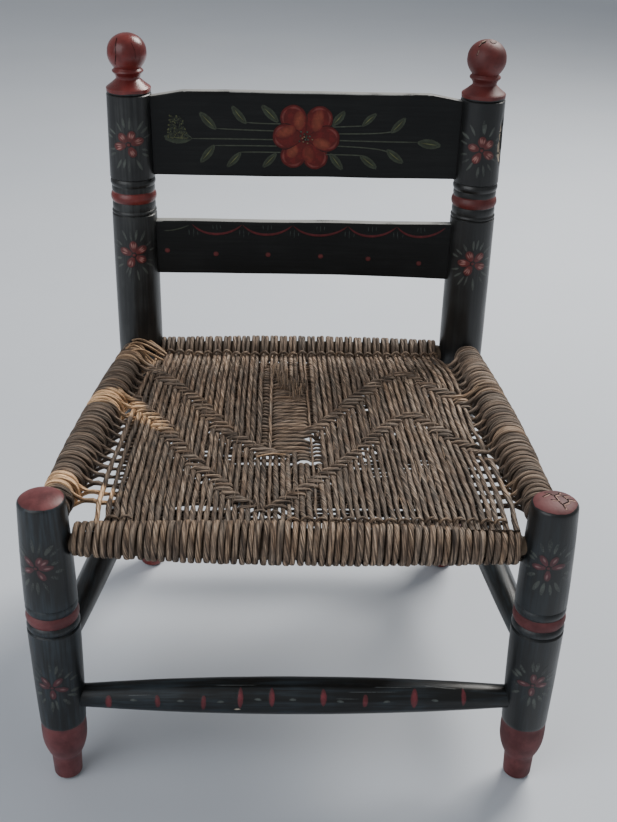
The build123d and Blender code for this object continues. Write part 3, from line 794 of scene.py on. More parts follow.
BIG_PETALS = [  # middle of each petal from the heart, radius, its orange stroke, how orange that is
    ((8.9, -16.4), 11.6, ((2, -9), (4, -20)), 0.45), ((-10.2, -15.4), 11.6, ((-9, -8), (-13, -16)), 1.0),
    ((12.0, 16.2), 11.9, ((12, 22), (9, 8)), 0.9), ((-10.6, 16.8), 12.0, ((-5.5, 21), (-5.5, 9)), 1.0),
    ((18.4, -0.6), 11.8, ((9, -3.5), (20, -6.5)), 1.0), ((-17.2, 1.0), 11.5, ((-23, 3), (-11, 7.5)), 0.85),
]


def slat_leaf(bm, drop, start, end, half_width):
    """An almond leaf that bends a little to one side, with its rib."""
    start, end = Vector(start), Vector(end)
    side = Vector((start.y - end.y, end.x - start.x)).normalized() * random.uniform(-1.6, 1.6)
    path = [start, (start + end) / 2 + side, end]
    stroke(bm, drop, path, half_width * 1.15, leaf_width, LEAF_EDGE, LEAF_FILL, cover=0.95, fade=0.35,
           thick=0.08, crisp=2.0)
    rib = [start.lerp(end, 0.12), start.lerp(end, 0.5) + side * 0.9, start.lerp(end, 0.84)]
    stroke(bm, drop, rib, 0.75, leaf_width, LEAF_FILL, LEAF_RIB, fade=0.1, thick=0.08, lift=0.14)


def big_petal(bm, drop, offset, radius, patch, orange, lift):
    """A petal that fans out from the heart, with a soft orange stroke and a pink arc at its rim."""
    heart, offset = Vector(BIG_FLOWER), Vector(offset)
    outward = offset.normalized()
    tip = heart + outward * (offset.length + radius)
    stroke(bm, drop, [heart + outward, tip], radius, fan_width, BIG_RIM, BIG_RED, thick=0.1, lift=lift,
           fine=(30, 20), crisp=7, tips=40, soft=0.30)
    near, far = (heart + Vector(place) for place in patch)
    colour = [r + (o - r) * orange for r, o in zip(BIG_RED, BIG_ORANGE)]
    reach = (far - near) * 0.22
    stroke(bm, drop, [near - reach, far + reach], radius * 0.46, round_width, BIG_RED, colour, thick=0.05,
           lift=lift + 0.14, fine=(18, 12), soft=0.8, solid=True)
    middle = heart + offset
    for swing in (-1, 1):
        turned = Vector((-outward.y, outward.x)) * swing
        arc = [middle + turned * radius * 0.76, middle + (turned + outward) * radius * 0.70,
               middle + outward * radius * 0.80]
        stroke(bm, drop, arc, 1.3, leaf_width, BIG_RED, BIG_PINK, thick=0.05, lift=lift + 0.15, solid=True)


painting = new_painting()
drop_on_slat = canvas("top_slat", (0, SLAT_FRONT_Y, 0))
for stem in STEMS:      # each starts well inside the flower
    stem = [(BIG_FLOWER[0] + 0.6 * (stem[0][0] - BIG_FLOWER[0]), stem[0][1]), *stem]
    stroke(painting, drop_on_slat, stem, 0.72, line_width, STEM_RIM, STEM_MIDDLE, thick=0.1,
           fine=(40, 4), crisp=5, tips=80, soft=0.4)
for start, end, half_width in LEAVES:
    slat_leaf(painting, drop_on_slat, start, end, half_width)
for _ in range(TUFT_DABS):      # the tuft narrows upwards
    climb = random.random() ** 1.5
    aside = random.uniform(-11, 9) * (1 - 0.62 * climb) - 3 * climb
    foot = Vector(TUFT_FOOT) + Vector((aside, TUFT_HEIGHT * climb - 3))
    tip = foot + Vector((random.uniform(-1.6, 1.6), random.uniform(0.5, 3.0)))
    olive = [value * 0.8 for value in random.choice((LEAF_EDGE, LEAF_FILL, LEAF_RIB))]
    stroke(painting, drop_on_slat, [foot, tip], random.uniform(0.7, 1.4), leaf_width, LEAF_FILL, olive,
           random.uniform(0.45, 0.85) * (1 - 0.3 * climb), fade=0.2, thick=0.06, lift=0.16, fine=(6, 4),
           soft=0.8)
for number, (offset, radius, patch, orange) in enumerate(BIG_PETALS):
    big_petal(painting, drop_on_slat, offset, radius, patch, orange, 0.08 + 0.05 * number)
for number in range(HEART_DABS):        # the dabs of the heart lie on a spiral, like seeds
    angle, away = number * 2.4, 0.8 + 0.42 * number
    place = (BIG_FLOWER[0] + math.cos(angle) * away, BIG_FLOWER[1] + math.sin(angle) * away)
    dot(painting, drop_on_slat, place, 0.95, BIG_RIM, HEART_SHADES[number % 3], lift=0.5, soft=0.6)
dry(painting, "top_slat_painting", slat_strokes)

# %% [markdown]
# ### Swags and dots on the lower slat
# A row of red swags hangs from the top rim of the lower slat, and a thin green one starts it.
# Small grey ticks hang at and between the points where they meet, and a red dot stands under
# each swag.

# %% Paint the lower slat
SWAG_POINTS = [-95.2, -49.8, -4.2, 45.7, 90.1, 134.5]
SWAG_TOP, SWAG_DROP = 375.2, 9.5
SWAG_RIM, SWAG_RED = (0.060, 0.010, 0.012), (0.120, 0.022, 0.025)
DOTS = [(-118, 349.6), (-73.8, 346.8), (-26.4, 346.7), (21.6, 345.8), (65.2, 344.0), (112.1, 340.2)]
DOT_RIM, DOT_RED = (0.030, 0.007, 0.008), (0.155, 0.036, 0.036)
GREEN_SWAG, SWAG_GREEN, TICK_GREY = (
    [(-122, 368.4), (-110, 367.6), (-96, 374.6)], (0.055, 0.062, 0.042), (0.046, 0.058, 0.054))

painting = new_painting()
drop_on_slat = canvas("lower_slat", (0, SLAT_FRONT_Y, 0))
stroke(painting, drop_on_slat, GREEN_SWAG, 0.7, line_width, LEAF_RIM, SWAG_GREEN, cover=0.75, thick=0.1)
for left, right in zip(SWAG_POINTS, SWAG_POINTS[1:]):
    third = (right - left) / 3
    swag = [(left, SWAG_TOP), (left + third * 0.7, SWAG_TOP - 1.45 * SWAG_DROP),
            (right - third * 0.7, SWAG_TOP - 1.2 * SWAG_DROP), (right, SWAG_TOP)]
    stroke(painting, drop_on_slat, swag, 1.45, swag_width, SWAG_RIM, SWAG_RED, fine=(36, 4), tips=60,
           soft=0.6)
    middle = (left + right) / 2
    for x, top, low in ((middle - 3.5, 375, 369.5), (middle, 375.5, 368.5), (middle + 3.5, 375, 370),
                        (left - 2.4, 370.5, 364), (left + 1.4, 371.5, 362), (left + 5.4, 368.5, 364)):
        tick = [(x + random.uniform(-1, 1), top), (x, low)]
        stroke(painting, drop_on_slat, tick, 0.6, leaf_width, LEAF_RIM, TICK_GREY, cover=0.6, fade=0.3,
               thick=0.06)
for place in DOTS:
    dot(painting, drop_on_slat, place, 2.7, DOT_RIM, DOT_RED, 0.9, soft=0.9)
dry(painting, "lower_slat_painting", slat_strokes)

# %% [markdown]
# ### Dashes on the front stretcher
# Nine upright red dashes cross the front of the swelled stretcher, and a grey green dab stands
# between each two. Age has left a few pale scratches and one chip on the lower arris.

# %% Paint the front stretcher
DASHES = [  # x, height of the middle, half length, half width, how bright its red is
    (-147.3, -4.0, 6.2, 3.4, 0.90), (-109.0, -2.9, 5.8, 2.8, 0.72), (-72.9, -3.5, 6.8, 2.7, 0.66),
    (-43.9, 0.4, 9.4, 3.0, 0.82), (-18.7, 1.0, 8.4, 3.2, 0.84), (21.5, 1.0, 7.6, 3.4, 0.88),
    (54.3, -1.5, 5.8, 2.8, 0.68), (94.2, 0.0, 8.7, 3.9, 0.92), (133.1, 0.4, 7.6, 2.7, 0.72),
]
DASH_RIM, DASH_RED = (0.040, 0.011, 0.014), (0.200, 0.036, 0.046)
DABS = [(-127.6, -2.2), (-90.6, -2.2), (-59.1, -2.4), (-29.6, -0.6), (-2.1, -0.4), (35.3, -2.0),
        (72.1, -2.0), (110.5, -1.8)]
DAB_GREY = (0.085, 0.098, 0.094)
SCRATCHES = [((38, 5.4), (84, 5.2)), ((30, 0.6), (52, 0.4)), ((-66, 9.5), (-28, 9.9)),
             ((100, 9.2), (131, 6.4)), ((-134, 1.6), (-112, 2.4)), ((60, 8.6), (96, 8.2))]
SCRATCH_RIM, SCRATCH_GREY = (0.05, 0.056, 0.058), (0.11, 0.12, 0.12)
CHIPPED, CHIPPED_RIM = [(-49, -9.0), (-46, -8.6), (-43, -8.8)], (0.10, 0.065, 0.04)
POINTED = 7         # a dash with a longer half than this is pointed, a shorter one is round
CANVAS_TILT, CANVAS_HEIGHT = math.radians(24), 84       # the dashes face up a little

painting = new_painting()
bar_up = (0, math.sin(CANVAS_TILT), math.cos(CANVAS_TILT))
drop_on_bar = canvas("front_stretcher", (0, FRONT_Y, CANVAS_HEIGHT), TO_X, bar_up)
for x, height, half, half_width, bright in DASHES:
    red = [value * bright for value in DASH_RED]
    shape = leaf_width if half > POINTED else round_width
    dash = [(x + random.uniform(-0.8, 0.8), height + half), (x + random.uniform(-1.2, 1.2), height),
            (x, height - half)]
    stroke(painting, drop_on_bar, dash, half_width, shape, DASH_RIM, red, cover=0.86, fade=0.15, thick=0.1,
           crisp=1.25, soft=0.9)
    core = [(x, height + half * 0.6), (x, height - half * 0.3)]
    stroke(painting, drop_on_bar, core, half_width * 0.45, leaf_width, red, [value * 1.15 for value in red],
           cover=0.9, thick=0.06, lift=0.12, solid=True)
for x, height in DABS:
    dab = [(x - 3.4, height + random.uniform(-0.8, 0.8)), (x, height + 0.8), (x + 3.4, height)]
    stroke(painting, drop_on_bar, dab, 1.35, leaf_width, LEAF_RIM, DAB_GREY, cover=0.75, fade=0.3,
           thick=0.06, crisp=1.6)
for scratch in SCRATCHES:
    stroke(painting, drop_on_bar, scratch, 0.35, line_width, SCRATCH_RIM, SCRATCH_GREY, cover=0.62,
           fade=0.3, thick=0.02, fine=(30, 4))
stroke(painting, drop_on_bar, CHIPPED, 0.9, leaf_width, CHIPPED_RIM, BARE_WOOD[:3], thick=0.02, fine=(10, 6))
dry(painting, "front_stretcher_dashes", bar_strokes)

# %% [markdown]
# ### Cracks in the crowns
# The end grain of the front right post has opened, the rear left ball has one long check down
# its side, and the rear right ball is scratched. Cracks are thin dark strokes, most of them
# with a pale line beside them: split wood on the ball, and on the crown split end grain with a
# painted highlight on the crack's edge.

# %% Draw the cracks
CRACK, RED_CRACK = (0.008, 0.004, 0.003), (0.03, 0.006, 0.005)
# The pale end-grain colour beside the crown cracks is split end grain with a painted highlight.
SPLIT_WOOD, SPLIT_END_GRAIN_AND_GLINT = (0.36, 0.25, 0.20), (0.42, 0.26, 0.22)
CROWN_HEIGHT, BALL_HEIGHT = 262, 525
CROWN_CRACKS = [    # corners of the cracks, from the middle of the front right crown
    [(-6.5, 9.5), (-3.4, 6.9), (-0.7, 4.0), (2.8, 5.5), (5.3, 3.8), (7.9, -0.4), (8.9, -3.2)],
    [(-0.7, 4.0), (0.9, -3.3), (3.2, -7.6), (4.9, -11.6)], [(2.8, 5.5), (4.4, 9.5)],
    [(5.3, 3.8), (10.5, 5.0)], [(7.9, -0.4), (14.2, 0.5)], [(0.9, -3.3), (-4.4, -1.5)],
    [(3.2, -7.6), (8.9, -3.2)], [(-3.4, 6.9), (-9.5, 3.0)],
]
BALL_CHECK = [(-6.6, 11.5), (-7.4, 5), (-7.2, -1), (-8.4, -7.5), (-8.0, -9.5)]
BALL_HAIR_CRACK = [(5.5, 8.5), (8.5, 2.5), (8.8, -4)]
BALL_SCRATCHES = [
    [(-9.5, 9.5), (-7, 12), (-3, 13.5)], [(0, 14), (3, 12.5), (6.5, 13)], [(-11, 3), (-9.5, 7)]]


def crack(bm, drop, corners, half_width, colour, lift):
    """A thin line from corner to corner, a little bent between them."""
    for start, end in zip(corners, corners[1:]):
        start, end = Vector(start), Vector(end)
        bend = (start + end) / 2 + Vector((random.uniform(-0.5, 0.5), random.uniform(-0.5, 0.5)))
        stroke(bm, drop, [start, bend, end], half_width * random.uniform(0.7, 1.2), line_width,
               colour, colour, thick=0.02, lift=lift, fine=(8, 4), crisp=6)


def beside(corners, x, y):
    return [(corner[0] + x, corner[1] + y) for corner in corners]


painting = new_painting()
drop_on_crown = canvas("front_right_post", (FRONT_X, FRONT_Y, CROWN_HEIGHT), TO_X, TO_Y)
# each crack gets a pale line on one side: split end grain and a painted highlight on its edge
for corners in CROWN_CRACKS:
    crack(painting, drop_on_crown, beside(corners, 0.9, -0.9), 0.9, SPLIT_END_GRAIN_AND_GLINT, 0.06)
    crack(painting, drop_on_crown, corners, 0.48, CRACK, 0.1)
dry(painting, "front_right_crown_cracks", crack_paint)

painting = new_painting()
drop_on_ball = canvas("rear_left_post", (REAR_LEFT_X, REAR_Y, BALL_HEIGHT))
crack(painting, drop_on_ball, BALL_CHECK, 0.30, CRACK, 0.06)
crack(painting, drop_on_ball, BALL_HAIR_CRACK, 0.16, RED_CRACK, 0.06)
dry(painting, "rear_left_ball_check", crack_paint)

painting = new_painting()
drop_on_ball = canvas("rear_right_post", (REAR_RIGHT_X, REAR_Y, BALL_HEIGHT))
for corners in BALL_SCRATCHES:
    crack(painting, drop_on_ball, corners, 0.28, CRACK, 0.06)
    crack(painting, drop_on_ball, beside(corners, 0.4, 0.7), 0.2, SPLIT_WOOD, 0.08)
dry(painting, "rear_right_ball_scratches", crack_paint)

# %% [markdown]
# ## Palm cord
# The seat is one long two-ply cord of palm leaf. Straight rope is easy to make: a section with
# lobes is spun upwards about its own axis, so the lobes wind round each other. Every run of
# cord in the seat is a copy of such a blank, bent along its own centre line. "lay" remembers
# where a point was on the straight, untwisted rope, so the fibres of the material follow the
# plies, and "tone" holds the tint of the run, how golden it is, and how bright it is painted,
# which is painted light and shade. The flanks of a cord, where it touches the next one, are
# made darker, because dust and shade gather there.

# %% Straight rope blanks
def straight_rope(sides, rings, turns, lobe, plies=2, square=2.3):
    """A twisted rope, one unit high, from a lobed section; square above 2 flattens its sides."""
    bm = bmesh.new()
    section = bmesh.ops.create_circle(bm, cap_ends=False, segments=sides, radius=1.0)["verts"]
    for point in section:
        point.co *= 1 - lobe + lobe * math.cos(plies * math.atan2(point.co.y, point.co.x))
    edges = list({edge for point in section for edge in point.link_edges})
    bmesh.ops.spin(bm, geom=section + edges, cent=(0, 0, 0), axis=(0, 0, 1), dvec=(0, 0, 1 / rings),
                   angle=turns * math.tau, steps=rings, use_duplicate=False)
    bmesh.ops.holes_fill(bm, edges=[edge for edge in bm.edges if edge.is_boundary], sides=0)
    bmesh.ops.recalc_face_normals(bm, faces=bm.faces)
    mesh = bpy.data.meshes.new("rope_blank")
    bm.to_mesh(mesh)
    bm.free()
    places = np.empty(len(mesh.vertices) * 3)
    mesh.vertices.foreach_get("co", places)
    places = places.reshape(-1, 3)
    number = np.rint(places[:, 2] * rings).astype(int)
    angle = np.arctan2(places[:, 1], places[:, 0])
    around = (angle - turns * math.tau * number / rings) * plies / 2
    fuller = (np.abs(np.cos(angle)) ** square + np.abs(np.sin(angle)) ** square) ** (-1 / square)
    section = places[:, :2] * fuller[:, None]
    return {"mesh": mesh, "section": section, "ring": number, "around": around, "rings": rings}


PANEL_LAYS = (5.5, 0.09), (7.5, 0.06), (4, 0.08), (6.5, 0.03)       # turns of the twist, depth of the lobes
TURN_LAYS = (1.0, 0.05), (1.7, 0.06), (0.6, 0.04)
BUNDLE_TURNS = 0.35, 0.6, 0.2
panel_blanks = [straight_rope(10, 110, -turns, lobe) for turns, lobe in PANEL_LAYS]
turn_blanks = [straight_rope(12, 34, -turns, lobe, square=2.9) for turns, lobe in TURN_LAYS]
bundle_blanks = [straight_rope(14, 34, -turns, 0.09, plies=4, square=2.4) for turns in BUNDLE_TURNS]
knot_blank = straight_rope(8, 14, -1.5, 0.08)
fibre_blank = straight_rope(4, 9, 0, 0.0)
for title, blank in (("panel", panel_blanks[0]), ("turn", turn_blanks[0]), ("bundle", bundle_blanks[0]),
                     ("knot", knot_blank), ("fibre", fibre_blank)):
    print(title, "blank:", len(blank["mesh"].polygons), "faces")

# %% [markdown]
# Bending moves each ring of a blank to its place on the centre line and squeezes it to the
# width and thickness wanted there. One piece then joins all runs that belong together.

# %% Bend the blanks and join the runs
FLANK_SHADE = [0.5, 0.95], [1.07, 0.45]     # share of the half width, brightness there
LAY_STARTS = 900        # millimetres over which the runs take their fibres from the noise


def unit(vectors):
    return vectors / np.linalg.norm(vectors, axis=1, keepdims=True)


def steps_along(centre):
    """Length of each step of a centre line."""
    return np.linalg.norm(np.diff(centre, axis=0), axis=1)


def bend(blank, centre, up, wide, thick):
    """Lay a straight rope along a centre line; wide and thick are its half sizes there."""
    along = unit(np.gradient(centre, axis=0))
    side = unit(np.cross(up, along))
    up = np.cross(along, side)
    ring_of = blank["ring"]
    sideways, upwards = blank["section"][:, 0] * wide[ring_of], blank["section"][:, 1] * thick[ring_of]
    places = centre[ring_of] + side[ring_of] * sideways[:, None] + up[ring_of] * upwards[:, None]
    travelled = np.concatenate([[0], np.cumsum(steps_along(centre))])
    lay = np.column_stack([np.cos(blank["around"]), np.sin(blank["around"]), travelled[ring_of]])
    return places, lay


def cord_piece(name, material, stands_for, runs):
    """Join many bent runs of cord in one piece; each run is (blank, centre, up, wide, thick, tone)."""
    bm = bmesh.new()
    lays, tones = [], []
    for blank, centre, up, wide, thick, tone in runs:
        places, lay = bend(blank, centre, up, wide, thick)
        blank["mesh"].vertices.foreach_set("co", places.ravel())
        bm.from_mesh(blank["mesh"])
        lay[:, 2] += chance.uniform(0, LAY_STARTS)
        lays.append(lay)
        tone = tone[blank["ring"]]
        tone[:, 2] *= np.interp(np.abs(blank["section"][:, 0]), *FLANK_SHADE)
        tones.append(tone)
    length = sum(steps_along(centre).sum() for _, centre, *_ in runs) * MM
    print(f"{name}: {len(runs)} runs, {length:.2f} m along the centre lines")
    piece = finished(bm, name, material, stands_for, sharp=75)
    for layer, values in (("lay", lays), ("tone", tones)):
        stored = piece.data.attributes.new(layer, "FLOAT_VECTOR", "POINT")
        stored.data.foreach_set("vector", np.concatenate(values).ravel())
    return piece

# %% [markdown]
# The cord's material reads only "lay" and "tone". Noise that is fine across the cord and drawn
# out along it makes the leaf fibres: dry leaf splits, so light strips lie beside dark slits.
# The groove between the plies is painted darker, as painted shade; old cord is grey brown, and
# some lengths of younger leaf are still golden.

# %% Palm cord material
LEAF_STRIPS = [     # value of the noise, colour of the dry leaf there
    (0.36, (0.030, 0.019, 0.013, 1)), (0.45, (0.115, 0.076, 0.051, 1)), (0.54, (0.225, 0.158, 0.110, 1)),
    (0.66, (0.52, 0.385, 0.275, 1))]
OLD_BROWN, OLD_GREY = (0.185, 0.108, 0.062, 1), (0.230, 0.200, 0.170, 1)
GOLD_SHADE, GOLD_LIGHT = (0.26, 0.125, 0.052, 1), (1.0, 0.64, 0.35, 1)
LEAF_RELIEF = 0.9 * MM


def palm_cord(name):
    """Leaf strips and hairs along the cord, with old and golden lengths."""
    material, tree, surface = new_material(name)
    lay = node(tree, "Attribute", attribute_name="lay").outputs["Vector"]
    tone = node(tree, "SeparateXYZ", {0: node(tree, "Attribute", attribute_name="tone").outputs["Vector"]})
    strip = grain_noise(tree, lay, 1.0, (2.3, 2.3, 0.055), detail=2.0, rough=0.5)
    hair = grain_noise(tree, lay, 1.0, (7.0, 7.0, 0.16), detail=2.0, rough=0.5)
    patch = grain_noise(tree, lay, 1.0, (0.10, 0.10, 0.020), detail=2.0)
    warmth = grain_noise(tree, lay, 1.0, (0.15, 0.15, 0.011), detail=1.0)
    ramp = node(tree, "ValToRGB", {0: strip})
    for stop, (position, _) in zip(ramp.color_ramp.elements, (LEAF_STRIPS[0], LEAF_STRIPS[-1])):
        stop.position = position
    for position, _ in LEAF_STRIPS[1:-1]:
        ramp.color_ramp.elements.new(position)
    for stop, (_, leaf) in zip(ramp.color_ramp.elements, LEAF_STRIPS):
        stop.color = leaf
    brown = blend_colours(tree, stepped(tree, warmth, 0.42, 0.60, 0.0, 0.42), ramp.outputs[0], OLD_BROWN)
    grey = blend_colours(tree, stepped(tree, patch, 0.44, 0.68, 0.0, 0.38), brown, OLD_GREY)
    straw = blend_colours(tree, stepped(tree, strip, 0.36, 0.58), GOLD_SHADE, GOLD_LIGHT)
    colour = blend_colours(tree, tone.outputs[1], grey, straw)
    groove = math_node(tree, "ABSOLUTE", node(tree, "SeparateXYZ", {0: lay}).outputs[0], 0.0)
    # painted shade in the groove between the plies
    lit = math_node(tree, "MULTIPLY", stepped(tree, groove, 0.0, 0.26, 0.42, 1.0), tone.outputs[0])
    # the run's brightness kept in tone: painted light and shade
    lit = math_node(tree, "MULTIPLY", lit, tone.outputs[2])
    lit = math_node(tree, "MULTIPLY", lit, stepped(tree, hair, 0.38, 0.60, 0.42, 1.30))
    dimmed = node(tree, "VectorMath", {0: colour}, operation="SCALE")
    tree.links.new(lit, dimmed.inputs["Scale"])
    relief = plus_share(tree, plus_share(tree, strip, hair, 0.6), stepped(tree, groove, 0.0, 0.4), 0.5)
    feed(tree, surface, dimmed.outputs[0], stepped(tree, strip, 0.3, 0.7, 0.82, 0.55), relief, LEAF_RELIEF)
    return material


palm = palm_cord("palm_cord")
print("cord material with", len(palm.node_tree.nodes), "nodes")

# %% [markdown]
# ## Rails and the plan of the seat
# Four rails carry the seat. Everything in the seat is placed from their centre lines: the
# wraps go round them and the woven panel hangs between them. Straw spots say where, seen from
# above, a golden length of cord shows. The cord is also painted a little brighter towards the
# back and darker at the sides: painted light and shade.

# %% Rails, golden spots and tints
def rail(start_post, start_height, end_post, end_height, radius):
    """Start, end and the bare radius in the middle."""
    start, end = Vector((*POSTS[start_post][:2], start_height)), Vector((*POSTS[end_post][:2], end_height))
    return start, end, radius


RAILS = {
    "front": rail("front_left_post", 229, "front_right_post", 229, 11.8),
    "rear": rail("rear_left_post", 246.5, "rear_right_post", 246.5, 10.4),
    "left": rail("front_left_post", 243.5, "rear_left_post", 253.5, 11.8),
    "right": rail("front_right_post", 243.5, "rear_right_post", 253.5, 11.8),
}
RAIL_END_RADIUS, CORD_HALF = 7.8, 2.6
STRAW = [   # x, y, half width, half length, how golden
    (-168, 19, 30, 9, 1.0), (-150, 23, 15, 12, 1.0), (-138, 17, 8, 12, 1.0), (-126, 4, 9, 10, 0.95),
    (-117, -6, 7, 8, 0.8), (-106, -14, 6, 6, 0.35), (-184, -103, 22, 9, 1.0), (-156, -108, 18, 9, 0.9),
    (-149, -124, 4, 26, 0.5), (-156, 98, 20, 7, 0.45), (-140, 114, 12, 12, 0.4), (-82, 18, 14, 22, 0.10),
    (164, 42, 26, 7, 0.20), (176, -30, 24, 6, 0.16), (162, -95, 8, 12, 0.25),
]
GOLDEN_TINT, GOLDEN_LIGHT = 1.15, 1.3       # tint and brightness of a fully golden length
# painted light and shade on the cord: darker at the sides, brighter towards the back
SIDE_LIGHT = [-190, -150, -130, 20, 70, 190], [0.93, 0.95, 1.0, 1.0, 0.93, 0.92]     # by x
BACK_LIGHT = [-150, -90, -20, 70, 130], [1.0, 1.03, 1.09, 1.12, 1.14]       # by y


def smooth_step(t):
    t = np.clip(t, 0.0, 1.0)
    return t * t * (3 - 2 * t)


def straw_at(x, y):
    """How golden the cord is at a place in the plan, 0 to 1."""
    golden = np.zeros_like(x)
    for middle_x, middle_y, half_x, half_y, strength in STRAW:
        away = ((x - middle_x) / half_x) ** 2 + ((y - middle_y) / half_y) ** 2
        golden = np.maximum(golden, strength * smooth_step((1.5 - away) * 1.4))
    return golden


def tone_of(centre, tint=None, light=1.0, warm=0.0):
    """The tint of one run, its golden lengths and its painted light and shade, for each ring."""
    tint = chance.uniform(0.64, 1.34) if tint is None else tint
    golden = np.maximum(straw_at(centre[:, 0], centre[:, 1]) * chance.uniform(0.75, 1.0), warm)
    light = light * np.interp(centre[:, 0], *SIDE_LIGHT) * np.interp(centre[:, 1], *BACK_LIGHT)
    return np.column_stack([tint + (GOLDEN_TINT - tint) * golden, golden,
                            light + (GOLDEN_LIGHT - light) * golden])


def bare_radius(name, along, length):
    """Radius of the shaved rail at a distance along it."""
    bow = np.clip(1 - ((along - length / 2) / (length / 2 - POST_RADIUS)) ** 2, 0, 1)
    return RAIL_END_RADIUS + (RAILS[name][2] - RAIL_END_RADIUS) * bow


def slow_noise(values, size, seed):
    """Smooth random wandering along a run, between -1 and 1."""
    return np.array([noise.noise(Vector((value / size, seed, 0.5))) for value in values])


print("rails:", {name: round((facts[1] - facts[0]).length, 1) for name, facts in RAILS.items()})

# %% [markdown]
# ## Where warp and weft lie
# Sixty warps run from the front rail to the rear rail and spread a little towards the front,
# because the seat is wider there. The wefts run from side to side. Two zigzag lines cross the
# panel: on them the wefts come up over three warps, and everywhere else the warps float on
# top. That makes the nested V pattern. The outer warps bow outwards, and in the old seat the
# cords have parted here and there, so that light shows through small holes. In the worn patch
# some warps are missing and the wefts have come up.

# %% Plan of the weave
WARPS, WEFTS, FRONT_ROWS = 60, 45, 3        # the front rows stop short of the side rails
WEFT_FIRST_Y, WEFT_PITCH, REAR_PITCH, FRONT_PITCH = -132.1, 5.7, 4.44, 5.145
PANEL_FRONT, PANEL_REAR = -136.0, 136.0
ZIGZAGS = [     # each is a list of x and a list of y
    ([-160, -133, -110, -93, -78, -60, -24, 10, 27, 45, 76, 98, 112, 138, 160],
     [136, 97, 63, 46, 20, -13, -49, -15, 5, 32, 73, 95, 70, 44, 20]),
    ([-160, -137, -112, -101, -88, -79, -64, -52, -39, -25, -1, 18, 35, 52, 66, 84, 99, 114, 129, 160],
     [60, 28, -7, -29, -52, -66, -87, -103, -120, -127, -104, -81, -62, -39, -18, 5, 19, -5, -24, -52]),
]
FLOAT_HALF = 6.8        # half the length of a weft's float over three warps
BELLY_Y = [-137, -118, -60, -13, 45, 95, 137]       # how far the outer warps bow there, left and right:
BELLY = {-1: [0, 3.3, 3.6, 2.2, 1.3, 0.8, 0], 1: [0.5, 3.6, 3.3, 0.8, 2.8, 4.7, 0.3]}
BROKEN = {  # warp: the part that is missing, from y to y
    23: (-38, 104), 25: (-46, 92), 26: (-48, 74), 27: (-47, 70), 28: (-46, 56), 29: (-59, 50), 30: (-61, 62),
    32: (-60, -20),
}
THIN = {24: 1.55, 31: 1.2}      # warp: half width of what is left of it over its whole length
GAPS = [    # x, y, half width, half length, how far warps part, how far wefts part
    (-144.5, -80, 4, 40, 0.8, 0.0), (-138, -80, 4, 34, 0.5, 0.4), (-76, -117.85, 18, 7, 0.6, 5.0),
    (-48, -117.85, 4, 5, 0.6, 2.6), (-38, -117.85, 6, 5, 0.7, 2.6), (-34, -123.55, 4, 5, 0.6, 2.0),
    (-29, -129.25, 4, 5, 0.7, 2.0), (-14, -126.4, 4, 9, 1.0, 0.8), (-7, -121, 4, 13, 1.1, 0.6),
    (-26, -55.15, 30, 5, 0.4, 2.8), (8, -55.15, 10, 5, 0.5, 2.4), (-55, -46.6, 5, 9, 0.6, 1.3),
    (-81, -60.85, 4, 4, 0.6, 2.4), (-73, -41, 4, 9, 0.6, 1.2),
    (57, -46, 9, 15, 0.0, 0.0), (57, -60.85, 16, 5, 0.2, 1.4), (60, -38.05, 7, 4, 0.2, 0.9),
    (66, -69.4, 8, 7, 0.3, 0.8), (88, -62, 4, 11, 0.6, 0.9), (102.5, -54, 4, 15, 0.6, 0.5),
    (85, -9.55, 4, 5, 0.6, 1.8), (77, -32.35, 4, 5, 0.6, 1.6), (15, -121, 4.5, 17, 1.7, 0.6),
    (26, -122, 4, 12, 0.7, 0.6), (36.5, -122, 4, 14, 0.7, 0.6), (47, -115, 6, 6, 0.5, 1.2),
    (15, -129.25, 4, 5, 0.3, 1.8), (36, -129.25, 5, 5, 0.6, 2.8), (46, -129.25, 4, 5, 0.6, 2.6),
    (58, -129.25, 5, 5, 0.7, 2.8), (67, -129.25, 4, 5, 0.6, 2.6), (79, -129.25, 4, 5, 0.5, 2.2),
    (89, -129.25, 4, 5, 0.5, 2.2), (77, -117, 4, 9, 0.6, 0.8), (88, -117.85, 4, 5, 0.5, 1.0),
    (62, 30.35, 6, 5, 1.0, 1.8), (139, -84, 3, 28, 0.35, 0.0), (147.5, -78, 3.4, 34, 0.6, 0.0),
    (150.5, -130, 3, 14, 2.0, 0.0), (149, -20, 3, 24, 0.9, 0.0), (131, -20, 4, 8, 0.6, 0.8),
]
GRID_HOLE = (12.5, -34, 9, 20)      # x, y, half width, half length of the thin, open wefts
PATCH_RAISED, PATCH_WIDENED = (-6, 4, 15, 46), (-6, 10, 15, 50)      # the same of the worn patch
FRONT_LEVEL, LEVEL_RISE, SLACK, REAR_PULL = 241, 16, 2.2, 6.5       # height of the panel and its change
FRONT_EDGE_PLACES, FRONT_FIRST, FRONT_LAST_OFF = (-149.0, -141.0), -135.5, 2.2      # x of the warps
REAR_FIRST, PAIR_SHIFT = -129.0, 0.42       # the same at the rear rail


def panel_height(x, y):
    """Height of the plane between the layers: slack in the middle, low at the rear rail."""
    slack = SLACK * np.clip(1 - (x / 150) ** 2, 0, 1) * np.clip(1 - (y / 135) ** 2, 0, 1)
    rise = (y - FRONT_Y) / (REAR_Y - FRONT_Y) * LEVEL_RISE
    return FRONT_LEVEL + rise - slack - REAR_PULL * smooth_step((y - 62) / 62)


def level_at(x, y):
    """Height of that plane at one place."""
    return float(panel_height(np.array([x]), np.array([y]))[0])


def inside(x, y, spot):
    """1 inside a spot of the plan and 0 outside it, with a soft rim."""
    middle_x, middle_y, half_x, half_y = spot
    return np.exp(-((x - middle_x) / half_x) ** 4 - ((y - middle_y) / half_y) ** 4)


